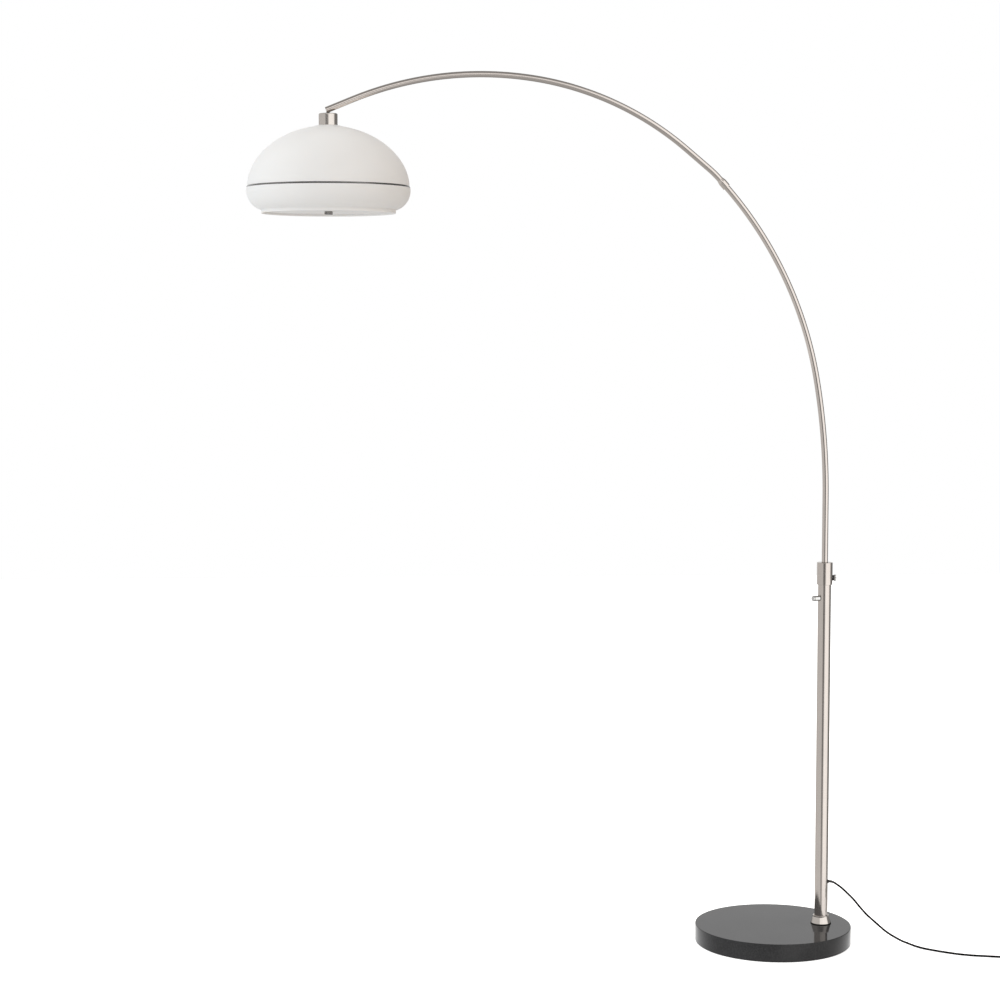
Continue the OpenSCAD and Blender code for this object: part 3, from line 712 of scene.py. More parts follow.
@dataclass
class Base:
    """The stone disc with its felt, the bolt under it and the foot cone."""

    edge: float = 1.2 * MM
    collar: float = 19.5 * MM
    pad_edge: float = 0.6 * MM
    hole: float = 6.0 * MM
    recess: float = 22.0 * MM
    recess_depth: float = 16.0 * MM
    sides: int = 256

    def __post_init__(self) -> None:
        """Reads the stone's size and the pole's place from the frame."""
        self.radius = high("base_stone").x
        self.bottom = low("base_stone").z
        self.top = high("base_stone").z
        self.pole = Vector((middle("pole_tube").x, 0.0, 0.0))

    def build(self) -> None:
        """Makes and dresses the base."""
        self._stone()
        self._felt()
        self._cone()
        dress(ZINC, ["base_bolt", "base_washer"])

    def _bore(self, work: Workpiece, rim: list, radius: float, rise: float) -> list:
        """Closes a flat ring round an off-centre hole and sinks the hole's wall.

        Args:
            work: the workpiece.
            rim: the edges of the flat ring's outer loop.
            radius: the hole's radius.
            rise: how far its wall goes up.

        Returns:
            The edges at the wall's far end.
        """
        level = rim[0].verts[0].co.z
        hole = work.ring(radius, Matrix.Translation(self.pole + UP * level), self.sides)
        bmesh.ops.triangle_fill(work.bm, edges=rim + hole, use_beauty=True)
        made = bmesh.ops.extrude_edge_only(work.bm, edges=hole)["geom"]
        verts = [g for g in made if isinstance(g, bmesh.types.BMVert)]
        bmesh.ops.translate(work.bm, verts=verts, vec=UP * rise)
        return [g for g in made if isinstance(g, bmesh.types.BMEdge) and all(v in verts for v in g.verts)]

    def _plate(self, name: str, side: Sequence[Point2], steps: Sequence[Point2]) -> Workpiece:
        """Makes a flat round plate with a stepped hole under the pole.

        Args:
            name: the piece's name.
            side: the outline of its side, from the bottom up.
            steps: each step's radius and how far it goes up.

        Returns:
            The workpiece.
        """
        work = Workpiece(name)
        work.lathe(side, self.sides, closed=False)
        rims = [e for e in work.bm.edges if e.is_boundary]
        half = (side[0][1] + side[-1][1]) / 2
        front = [e for e in rims if e.verts[0].co.z < half]
        upper = [e for e in rims if e not in front]
        for radius, rise in steps:
            front = self._bore(work, front, radius, rise)
        bmesh.ops.triangle_fill(work.bm, edges=upper + front, use_beauty=True)
        return work

    def _stone(self) -> None:
        """The disc: an eased rim, and flat faces round the bolt's hole and its recess."""
        rim = self.radius - self.edge
        side = arc((rim, self.bottom + self.edge), self.edge, -90, 0, 5)
        side += arc((rim, self.top - self.edge), self.edge, 0, 90, 5)
        above = self.top - self.bottom - self.recess_depth
        work = self._plate("stone_disc", side, [(self.recess, self.recess_depth), (self.hole, above)])
        work.finish(STONE, Body.STAND, Slot.STONE, ["base_stone"])

    def _felt(self) -> None:
        """The felt pad, with the recess's hole through it."""
        radius = high("base_felt").x
        side = [(radius - self.pad_edge, 0.0), (radius, self.pad_edge), (radius, self.bottom)]
        work = self._plate("felt_pad", side, [(self.recess, self.bottom)])
        work.finish(FELT, Body.STAND, Slot.FELT, ["base_felt"])

    def _cone(self) -> None:
        """The foot cone: a thin foot, a hollow flare and a short collar round the pole, with a near-black
        ring under it that is painted shade.
        """
        base, top = low("foot_cone").z, high("foot_cone").z
        foot, collar = high("foot_cone").x - self.pole.x, self.collar
        bore = middle("pole_tube").x - low("pole_tube").x
        outline = eased([
            (bore, base, 0.0), (foot, base, 0.3 * MM), (foot, base + 1.4 * MM, 0.5 * MM),
            (collar + 0.9 * MM, top - 6.0 * MM, 9 * MM), (collar, top - 3.2 * MM, 4 * MM),
            (collar, top, 0.9 * MM), (bore, top, 0.4 * MM),
        ])
        work = Workpiece("cone_of_foot").turn(outline, Matrix.Translation(self.pole), 128)
        work.finish(CAP_NICKEL, Body.STAND, Slot.NICKEL, ["foot_cone"])
        # A near-black ring under the cone's foot: painted shade for the contact shadow where the cone meets
        # the stone.
        bottom, rim = low("foot_gasket").z, high("foot_gasket").x - self.pole.x
        ring = eased([
            (bore, bottom, 0.0), (rim, bottom, 0.3 * MM), (rim, base, 0.4 * MM), (bore, base, 0.0),
        ], 3)
        work = Workpiece("foot_shade_ring").turn(ring, Matrix.Translation(self.pole), 96)
        work.finish(FOOT_SHADE_BLACK, Body.STAND, Slot.BLACK_PLASTIC, ["foot_gasket"])


# ---- Pole, clamp and switch ----------------------------------------------------------------


@dataclass
class Pole:
    """The pole with its sleeve, the arm's socket, the clamp screw and the rotary switch."""

    wall: float = 1.5 * MM
    sleeve_top: float = 4.0 * MM
    arm_gap: float = 0.4 * MM
    knurls: int = 36
    screw_head: float = 8.0 * MM
    # The next field, and the ring length and knurl below, size the black ring at the screw's neck; that ring
    # is painted shade.
    shade_ring_radius: float = 6.75 * MM
    screw_shank: float = 3.0 * MM
    head_length: float = 5.5 * MM
    shade_ring_length: float = 3.5 * MM
    knurl_depth: float = 0.35 * MM
    shade_ring_knurl: float = 0.3 * MM
    knob_gap: float = 0.4 * MM
    knob_length: float = 18.8 * MM
    knob_rim: float = 6.8 * MM
    knob_waist: float = 6.3 * MM
    knob_cup: float = 5.8 * MM
    cup_depth: float = 3.0 * MM
    switch_shaft: float = 3.0 * MM
    shaft_start: float = 6.4 * MM

    def __post_init__(self) -> None:
        """Reads the pole's place and radii from the frame."""
        self.axis = Vector((middle("pole_tube").x, 0.0, 0.0))
        self.radius = high("pole_tube").x - self.axis.x
        self.arm_radius = (high("lower_arm_tube").y - low("lower_arm_tube").y) / 2
        self.stand = Matrix.Translation(self.axis)

    def build(self) -> None:
        """Makes and dresses the pole and what is fixed to it."""
        self._tube()
        self._sleeve()
        self._screw()
        self._knob()
        dress(ZINC, ["pole_plug", "arm_socket", "switch_nut"])
        dress(WHITE_PLASTIC, ["clamp_pad"])
        dress(BLACK_PLASTIC, ["switch_body"])
        dress(CORD_SKIN, ["pole_lead"])

    def _tube(self) -> None:
        """The pole: a tube with eased ends."""
        bottom, top = low("pole_tube").z, high("pole_tube").z
        inner = self.radius - self.wall
        outline = eased([
            (inner, bottom, 0.2 * MM), (self.radius, bottom, 0.3 * MM),
            (self.radius, top, 0.3 * MM), (inner, top, 0.2 * MM),
        ], 2)
        work = Workpiece("pole_tube_skin").turn(outline, self.stand, 96)
        work.finish(NICKEL, Body.STAND, Slot.NICKEL, ["pole_tube"])

    def _sleeve(self) -> None:
        """The sleeve: it slips over the pole's end and closes round the arm."""
        bottom, top = low("pole_sleeve").z, high("pole_sleeve").z
        outer = high("pole_sleeve").x - self.axis.x
        seat = top - self.sleeve_top
        hole = self.arm_radius + self.arm_gap
        outline = eased([
            (self.radius, bottom, 0.3 * MM), (outer, bottom, 0.7 * MM), (outer, top, 0.8 * MM),
            (hole, top, 0.5 * MM), (hole, seat, 0.0), (self.radius, seat, 0.0),
        ])
        work = Workpiece("sleeve_of_pole").turn(outline, self.stand, 128)
        work.finish(NICKEL, Body.STAND, Slot.NICKEL, ["pole_sleeve"])

    def _screw(self) -> None:
        """The clamp screw: shank and a knurled head with a domed face, and a black knurled ring at its neck
        that is painted shade.
        """
        start, end = low("clamp_screw").x - self.axis.x, high("clamp_screw").x - self.axis.x
        shank, rim, core = self.screw_shank, self.screw_head, self.shade_ring_radius
        head = end - self.head_length
        neck = head - self.shade_ring_length
        outline = eased([
            (0.0, start, 0.0), (shank, start, 0.4 * MM), (shank, head, 0.0),
            (rim - 1.0 * MM, head, 0.2 * MM), (rim, head + 0.8 * MM, 0.3 * MM),
            (rim, end - 1.7 * MM, 0.3 * MM), (rim - 1.3 * MM, end - 0.4 * MM, 0.6 * MM),
            (rim - 3.2 * MM, end, 2.0 * MM), (0.0, end, 0.0),
        ], 3)
        place = standing(RIGHTWARD, self.axis + UP * middle("clamp_screw").z)
        work = Workpiece("clamp_thumb_screw").turn(outline, place, 2 * self.knurls, closed=False)
        work.flute(head + 0.7 * MM, end - 1.4 * MM, rim - 0.5 * MM, self.knurl_depth, place)
        work.finish(SCREW_PLATE, Body.CLAMP, Slot.BRIGHT, ["clamp_screw"], weighted=False)
        # The black knurled ring at the screw's neck is painted shade: it stands for the shadow between the
        # head and the sleeve.
        ring = eased([
            (shank, neck, 0.0), (core, neck, 0.6 * MM), (core, head, 0.3 * MM), (shank, head, 0.0),
        ], 3)
        collar = Workpiece("clamp_screw_painted_shade_ring").turn(ring, place, 2 * self.knurls)
        collar.flute(neck + 0.5 * MM, head - 0.1 * MM, core - self.shade_ring_knurl, self.shade_ring_knurl, place)
        collar.finish(BLACK_PLASTIC, Body.CLAMP, Slot.BLACK_PLASTIC, weighted=False)

    def _knob(self) -> None:
        """The switch's knob: a cupped skirt over the nut, a slim waist and a rounded tip."""
        joint = next(j for j in frame["joints"] if j["name"] == "switch_turn")
        axis = Vector(joint["axis"])
        start = self.radius + self.knob_gap
        end, floor, inner = start + self.knob_length, start + self.cup_depth, self.shaft_start
        rim, waist, cup, shaft = self.knob_rim, self.knob_waist, self.knob_cup, self.switch_shaft
        outline = eased([
            (0.0, inner, 0.0), (shaft, inner, 0.2 * MM), (shaft, floor, 0.0),
            (cup, floor, 0.2 * MM), (cup, start, 0.2 * MM), (rim, start, 0.3 * MM),
            (rim, start + 1.4 * MM, 0.6 * MM), (waist, start + 3.6 * MM, 2.0 * MM),
            (waist, end - 5.0 * MM, 3.0 * MM), (rim, end - 2.6 * MM, 1.4 * MM),
            (rim - 0.8 * MM, end - 0.5 * MM, 1.2 * MM), (rim - 3.0 * MM, end, 2.0 * MM), (0.0, end, 0.0),
        ], 4)
        place = standing(axis, self.axis + UP * middle("switch_body").z)
        work = Workpiece("dimmer_knob").turn(outline, place, 96, closed=False)
        work.finish(BRIGHT, Body.SWITCH, Slot.BRIGHT, ["switch_knob"])


# ---- Mains lead ----------------------------------------------------------------------------


@dataclass
class MainsLead:
    """The mains cord from the pole's side to its plug, with the spare length wound and tied."""

    diameter: float = 5.0 * MM
    route_low: float = 2.0 * MM
    route: Sequence[Corner] = (
        (0.134, 0.0, 0.148), (0.140, 0.0, 0.148), (0.147, 0.0, 0.1465), (0.154, -0.001, 0.143),
        (0.169, -0.003, 0.132), (0.183, -0.006, 0.119), (0.198, -0.009, 0.104), (0.212, -0.013, 0.087),
        (0.226, -0.018, 0.071), (0.240, -0.023, 0.058), (0.254, -0.028, 0.046), (0.268, -0.035, 0.034),
        (0.281, -0.041, 0.025), (0.294, -0.048, 0.018), (0.307, -0.056, 0.012), (0.320, -0.064, 0.008),
        (0.333, -0.073, 0.0045), (0.346, -0.084, 0.0025), (0.360, -0.097, 0.002), (0.380, -0.114, 0.002),
        (0.405, -0.132, 0.002), (0.430, -0.147, 0.002), (0.457, -0.158, 0.002), (0.484, -0.165, 0.002),
        (0.512, -0.172, 0.002), (0.542, -0.1765, 0.002), (0.572, -0.1798, 0.0028),
    )
    tail: Sequence[Corner] = (
        (0.6018, -0.150, 0.0186), (0.602, -0.140, 0.0182), (0.602, -0.130, 0.0145), (0.6012, -0.120, 0.0095),
        (0.600, -0.111, 0.0069),
    )
    outer_turn: float = 29.75 * MM
    inner_turn: float = 17.0 * MM
    layer: float = 5.1 * MM
    coil_floor: float = 3.3 * MM
    layer_sweep: float = 900.0
    climb_sweep: float = 60.0
    steps_per_turn: int = 30
    layers: int = 4
    tail_turn: float = 90.0
    strap_thick: float = 0.7 * MM
    strap_wide: float = 11.0 * MM
    strap_loose: float = 0.15 * MM
    strap_base: float = 0.8 * MM
    strap_turn: float = 135.0

    def build(self) -> None:
        """Makes the cord, its strain relief, the strap and the plug."""
        self.route = self._placed()
        path = self._smooth(self.route, 3)[:-1] + self._coil()[:-1] + self._smooth(self.tail, 3)
        length = round(sum((b - a).length for a, b in zip(path, path[1:])), 2)
        LOG.info("the cord is %.2f m long", length)
        cord = self._cord(path)
        relief = self._relief()
        strap = self._strap()
        plug = self._plug()
        pins = self._pins()

    def _placed(self) -> list[Corner]:
        """Lifts the route so that it rests on the floor with the cord's own radius.

        Returns:
            The route's points.
        """
        top, radius = self.route[0][2], self.diameter / 2
        rise = (top - radius) / (top - self.route_low)
        return [(x, y, radius + (z - self.route_low) * rise) for x, y, z in self.route]

    def _smooth(self, points: Sequence[Corner], spans: int) -> list[Vector]:
        """Runs a smooth curve through given points.

        Args:
            points: the points.
            spans: how many stretches each pair is cut into.

        Returns:
            The curve's points.
        """
        pts = [Vector(p) for p in points]
        out = []
        for i in range(len(pts) - 1):
            a, b, c, d = (pts[max(0, min(len(pts) - 1, j))] for j in (i - 1, i, i + 1, i + 2))
            for k in range(spans):
                t = k / spans
                bend = (2 * a - 5 * b + 4 * c - d) * t**2
                twist = (3 * b - a - 3 * c + d) * t**3
                out.append(0.5 * (2 * b + (c - a) * t + bend + twist))
        return out + [pts[-1]]

    def _coil(self) -> list[Vector]:
        """Winds four flat layers, in and out by turns, with a short climb between them.

        Returns:
            The points of the wound cord's middle line.
        """
        centre = middle("cord_coil")
        points: list[Vector] = []
        angle, height = -90.0, self.coil_floor
        last = self.layers - 1
        for number in range(self.layers):
            inward = number % 2 == 0
            ends = (self.outer_turn, self.inner_turn) if inward else (self.inner_turn, self.outer_turn)
            sweep = self.layer_sweep if number < last else self.layer_sweep - self.tail_turn
            steps = round(self.steps_per_turn * sweep / 360)
            for k in range(steps + 1):
                radius = ends[0] + (ends[1] - ends[0]) * k / steps
                points.append(self._on_coil(centre, radius, angle + sweep * k / steps, height))
            angle += sweep
            if number < last:
                steps = round(self.steps_per_turn * self.climb_sweep / 360)
                for k in range(1, steps):
                    rise = 0.5 - 0.5 * math.cos(math.pi * k / steps)
                    turn = angle + self.climb_sweep * k / steps
                    points.append(self._on_coil(centre, ends[1], turn, height + self.layer * rise))
                angle += self.climb_sweep
                height += self.layer
        return points

    @staticmethod
    def _on_coil(centre: Vector, radius: float, turn: float, height: float) -> Vector:
        """Returns a place on the coil from its radius, its turn in degrees and its height."""
        a = math.radians(turn)
        return Vector((centre.x + radius * math.cos(a), centre.y + radius * math.sin(a), height))

    def _cord(self, path: Sequence[Vector]) -> bpy.types.Object:
        """Makes the cord as one open curve with a round section.

        Args:
            path: its middle line.

        Returns:
            The curve object.
        """
        curve = bpy.data.curves.new("mains_cord_line", "CURVE")
        curve.dimensions = "3D"
        curve.bevel_depth = self.diameter / 2
        curve.bevel_resolution = 4
        curve.use_fill_caps = True
        spline = curve.splines.new("POLY")
        spline.points.add(len(path) - 1)
        for point, place in zip(spline.points, path):
            point.co = (*place, 1.0)
        spline.use_smooth = True
        piece = bpy.data.objects.new("mains_cord_line", curve)
        bpy.context.collection.objects.link(piece)
        nodes = ["mains_cord", "cord_coil", "cord_tail"]
        return hand_over(piece, CORD_SKIN, Body.STAND, nodes)

    def _relief(self) -> bpy.types.Object:
        """Makes the strain relief: a flange at the pole and a ribbed taper along the cord."""
        work = Workpiece("cord_strain_relief")
        path = self._smooth(self.route[:4], 8)
        spine = path[2:]
        places = []
        for i, here in enumerate(spine):
            ahead = spine[min(i + 1, len(spine) - 1)] - spine[max(i - 1, 0)]
            places.append(standing(ahead.normalized(), here))
        bore = self.diameter / 2 + 0.02 * MM
        rings = []
        for i, place in enumerate(places):
            share = i / (len(places) - 1)
            rib = 0.28 * MM if i % 4 in (1, 2) and share < 0.85 else 0.0
            rings.append(work.ring(self.diameter / 2 + (0.95 - 0.7 * share) * MM - rib, place, 32))
        for near, far in zip(rings, rings[1:]):
            bmesh.ops.bridge_loops(work.bm, edges=near + far)
        mouth = work.ring(bore, places[-1], 32)
        bmesh.ops.bridge_loops(work.bm, edges=rings[-1] + mouth)
        bmesh.ops.holes_fill(work.bm, edges=rings[0] + mouth, sides=0)
        exit_at = Vector(self.route[0])
        wall = exit_at.x - 0.5 * MM
        face = exit_at.x + 1.0 * MM
        outline = eased([
            (0.0, wall, 0.0), (4.0 * MM, wall, 0.3 * MM), (4.0 * MM, face + 0.6 * MM, 0.0),
            (4.7 * MM, face + 0.6 * MM, 0.3 * MM), (4.7 * MM, face + 2.0 * MM, 0.6 * MM),
            (3.2 * MM, face + 2.4 * MM, 0.3 * MM), (0.0, face + 2.4 * MM, 0.0),
        ], 3)
        place = standing(RIGHTWARD, Vector((0.0, exit_at.y, exit_at.z)))
        work.turn(outline, place, 48, closed=False)
        return work.finish(BLACK_PLASTIC, Body.STAND, Slot.BLACK_PLASTIC, ["strain_relief"], weighted=False)

    def _strap(self) -> bpy.types.Object:
        """Makes the strap round the coil's section."""
        work = Workpiece("coil_strap")
        centre = middle("cord_coil")
        inner = self.inner_turn - self.diameter / 2
        outer = self.outer_turn + self.diameter / 2
        thick, wide, loose = self.strap_thick, self.strap_wide, self.strap_loose
        base, top = self.strap_base, high("cord_coil").z + loose
        corners = [
            (inner - loose, base, 2.0 * MM), (outer + loose, base, 2.0 * MM),
            (outer + loose, top, 2.0 * MM), (inner - loose, top, 2.0 * MM),
        ]
        grow = [
            (inner - loose - thick, base - thick, 2.7 * MM), (outer + loose + thick, base - thick, 2.7 * MM),
            (outer + loose + thick, top + thick, 2.7 * MM), (inner - loose - thick, top + thick, 2.7 * MM),
        ]
        loops = []
        for outline in (eased(corners, 5), eased(grow, 5)):
            verts = [work.bm.verts.new((x, -wide / 2, z)) for x, z in outline]
            loops.append([work.bm.edges.new((a, b)) for a, b in zip(verts, verts[1:] + verts[:1])])
        bmesh.ops.bridge_loops(work.bm, edges=loops[0] + loops[1])
        made = bmesh.ops.extrude_face_region(work.bm, geom=list(work.bm.faces))["geom"]
        verts = [g for g in made if isinstance(g, bmesh.types.BMVert)]
        bmesh.ops.translate(work.bm, verts=verts, vec=(0.0, wide, 0.0))
        turn = Matrix.Rotation(math.radians(self.strap_turn), 4, "Z")
        work.settle(list(work.bm.verts), Matrix.Translation((centre.x, centre.y, 0.0)) @ turn)
        return work.finish(STRAP_PLASTIC, Body.STAND, Slot.STRAP, ["cord_tie"])

    def _plug(self) -> bpy.types.Object:
        """Makes the flat two-pin plug: a waisted body with a short cord neck."""
        work = Workpiece("plug_shell")
        plug_low, plug_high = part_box("plug_body")
        centre = (plug_low + plug_high) / 2
        length = plug_high.y - plug_low.y
        wide, thick = (plug_high.x - plug_low.x) / 2, (plug_high.z - plug_low.z) / 2
        sections = [
            (0.0, 3.4 * MM, 3.4 * MM), (0.12, 3.5 * MM, 3.5 * MM), (0.22, 4.0 * MM, 3.9 * MM),
            (0.30, 7.0 * MM, 4.6 * MM), (0.42, 10.5 * MM, 5.4 * MM), (0.60, 13.2 * MM, 5.9 * MM),
            (0.76, 16.0 * MM, 6.4 * MM), (0.84, wide, thick), (0.985, wide, thick),
            (1.0, wide - 0.6 * MM, thick - 0.6 * MM),
        ]
        rings = []
        for share, half_width, half_height in sections:
            y = plug_low.y + share * length
            shape = Matrix.Diagonal((half_width, half_height, 1.0, 1.0))
            place = Matrix.Translation((centre.x, y, centre.z)) @ Matrix.Rotation(math.radians(-90), 4, "X")
            edges = work.ring(1.0, Matrix.Identity(4), 48)
            verts = list({v for e in edges for v in e.verts})
            power = 1.0 if share < 0.25 else 0.55
            for v in verts:
                for k in (0, 1):
                    v.co[k] = math.copysign(abs(v.co[k]) ** power, v.co[k])
            bmesh.ops.transform(work.bm, matrix=place @ shape, verts=verts)
            rings.append(edges)
        for near, far in zip(rings, rings[1:]):
            bmesh.ops.bridge_loops(work.bm, edges=near + far)
        bmesh.ops.holes_fill(work.bm, edges=rings[0] + rings[-1], sides=0)
        return work.finish(BLACK_PLASTIC, Body.STAND, Slot.BLACK_PLASTIC, ["plug_body"], weighted=False)

    def _pins(self) -> bpy.types.Object:
        """Makes the plug's pins, each with a rounded end."""
        work = Workpiece("plug_contact_pins")
        pins_low, pins_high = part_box("plug_pins")
        root, tip = pins_low.y, pins_high.y
        radius = (pins_high.z - pins_low.z) / 2
        for x in (pins_low.x + radius, pins_high.x - radius):
            outline = eased([
                (0.0, root - 1.0 * MM, 0.0), (radius, root - 1.0 * MM, 0.0),
                (radius, tip, 1.3 * MM), (0.0, tip, 0.0),
            ], 5)
            place = standing(Vector((0.0, 1.0, 0.0)), Vector((x, 0.0, middle("plug_pins").z)))
            work.turn(outline, place, 32, closed=False)
        return work.finish(BRASS, Body.STAND, Slot.PINS, ["plug_pins"])


# ---- Arm -----------------------------------------------------------------------------------


@dataclass(frozen=True)
class Run:
    """One stretch of the arm's line: a straight length, or a bend of a radius and an angle."""

    size: float
    angle: float = 0.0


@dataclass(frozen=True)
class Heading:
    """A place on the arm's line in the upright plane, and the direction there in degrees."""

    x: float
    z: float
    angle: float

    def after(self, run: Run) -> "Heading":
        """Returns the place and direction at the end of a run that starts here."""
        a, b = math.radians(self.angle), math.radians(self.angle + run.angle)
        if run.angle == 0:
            return Heading(self.x + run.size * math.cos(a), self.z + run.size * math.sin(a), self.angle)
        x = self.x + run.size * (math.sin(b) - math.sin(a))
        z = self.z - run.size * (math.cos(b) - math.cos(a))
        return Heading(x, z, self.angle + run.angle)

    def along(self) -> Vector:
        """Returns the direction as a vector."""
        a = math.radians(self.angle)
        return Vector((math.cos(a), 0.0, math.sin(a)))

    def spot(self) -> Vector:
        """Returns the place as a vector."""
        return Vector((self.x, 0.0, self.z))

    def frame(self) -> Matrix:
        """Returns the transform that stands a turned piece on the line here."""
        return standing(self.along(), self.spot())


@dataclass
class Arm:
    """The bent arm: lower tube, ferrule, upper tube and the plug that closes its tip."""

    wall: float = 1.2 * MM
    coupling: float = 24.0 * MM
    ferrule_wall: float = 2.25 * MM
    ferrule_taper: float = 8.0 * MM
    sides: int = 40
    slack: float = 0.04 * MM
    lower: Sequence[Run] = (Run(225.7 * MM), Run(1634 * MM, 10.0), Run(938 * MM, 31.6), Run(12 * MM))
    upper: Sequence[Run] = (
        Run(12 * MM), Run(260 * MM, 8.3), Run(71 * MM),
        Run(738 * MM, 31.2), Run(814 * MM, 31.2), Run(67 * MM),
    )

    def __post_init__(self) -> None:
        """Finds the arm's foot, its coupling and its tip."""
        self.radius = (high("lower_arm_tube").y - low("lower_arm_tube").y - self.slack) / 2
        self.foot = Heading(middle("pole_tube").x, low("lower_arm_tube").z, 90.0)
        self.joint = self.foot
        for run in self.lower:
            self.joint = self.joint.after(run)
        self.tip = self.joint
        for run in self.upper:
            self.tip = self.tip.after(run)

    def build(self) -> None:
        """Makes and dresses the arm."""
        self._tube("lower_bent_tube", self.lower, self.foot, ["lower_arm_tube"])
        self._tube("upper_bent_tube", self.upper, self.joint, ["upper_arm_tube"])
        self._ferrule()
        dress(ZINC, ["coupling_pin"])
        dress(BLACK_PLASTIC, ["arm_end_plug", "tip_nipple"])
        dress(CORD_SKIN, ["arm_lead"])

    def _tube(self, name: str, runs: Sequence[Run], start: Heading, nodes: Sequence[str]) -> None:
        """Bends a tube along a line: an outer and an inner ring are run on together.

        Args:
            name: the piece's name.
            runs: the line's stretches.
            start: where it begins.
            nodes: the CAD nodes that it stands for.
        """
        work = Workpiece(name)
        here, gone = start, 0.0
        inner = work.ring(self.radius - self.wall, start.frame(), self.sides)
        outer = work.ring(self.radius, start.frame(), self.sides)
        bmesh.ops.bridge_loops(work.bm, edges=inner + outer)
        self._mark(work, list(work.bm.verts), here, Run(1.0), gone)
        front = inner + outer
        for run in runs:
            known = set(work.bm.verts)
            front = self._run_on(work, front, here, run)
            self._mark(work, [v for v in work.bm.verts if v not in known], here, run, gone)
            gone += run.size if run.angle == 0 else run.size * math.radians(run.angle)
            here = here.after(run)
        bmesh.ops.bridge_loops(work.bm, edges=front)
        work.finish(NICKEL, Body.ARM, Slot.NICKEL, nodes)

    @staticmethod
    def _run_on(work: Workpiece, front: list, here: Heading, run: Run) -> list:
        """Carries the tube's two end rings along one run.

        Args:
            work: the workpiece.
            front: the edges of the end rings.
            here: where the run starts.
            run: the run.

        Returns:
            The edges of the new end rings.
        """
        if run.angle == 0:
            made = bmesh.ops.extrude_edge_only(work.bm, edges=front)["geom"]
            verts = [g for g in made if isinstance(g, bmesh.types.BMVert)]
            bmesh.ops.translate(work.bm, verts=verts, vec=here.along() * run.size)
            ends = set(verts)
            return [g for g in made if isinstance(g, bmesh.types.BMEdge) and set(g.verts) <= ends]
        a = math.radians(here.angle)
        centre = here.spot() + run.size * Vector((-math.sin(a), 0.0, math.cos(a)))
        bend = math.radians(run.angle)
        steps = max(4, math.ceil(bend / (2 * math.acos(1 - CHORD_ERROR / run.size))))
        made = bmesh.ops.spin(
            work.bm, geom=front, cent=centre, axis=(0.0, -1.0, 0.0), angle=bend, steps=steps,
        )["geom_last"]
        return [g for g in made if isinstance(g, bmesh.types.BMEdge)]

    @staticmethod
    def _mark(work: Workpiece, verts: Sequence, here: Heading, run: Run, gone: float) -> None:
        """Notes each new vertex's place across and along the tube, for the brushed finish.

        Args:
            work: the workpiece.
            verts: the vertices of this run.
            here: where the run starts.
            run: the run.
            gone: the length of line before it.
        """
        a = math.radians(here.angle)
        left = Vector((-math.sin(a), 0.0, math.cos(a)))
        for v in verts:
            if run.angle == 0:
                offset = v.co - here.spot()
                v[work.grain] = (offset.dot(left), v.co.y, gone + offset.dot(here.along()))
                continue
            spoke = v.co - (here.spot() + run.size * left)
            turn = math.atan2(spoke.dot(here.along()), -spoke.dot(left))
            out = math.hypot(spoke.x, spoke.z)
            v[work.grain] = (run.size - out, v.co.y, gone + run.size * turn)

    def _ferrule(self) -> None:
        """The ferrule: a square lower end, and a cone that runs out on the upper tube."""
        outer = self.radius + self.ferrule_wall
        half = self.coupling / 2
        outline = eased([
            (self.radius, -half, 0.2 * MM), (outer, -half, 0.5 * MM),
            (outer, half - self.ferrule_taper, 3.0 * MM), (self.radius + 0.4 * MM, half, 0.2 * MM),
            (self.radius, half, 0.0),
        ])
        work = Workpiece("coupling_ferrule").turn(outline, self.joint.frame(), 96)
        work.finish(NICKEL, Body.ARM, Slot.NICKEL, ["arm_ferrule"])


# ---- Shade ---------------------------------------------------------------------------------


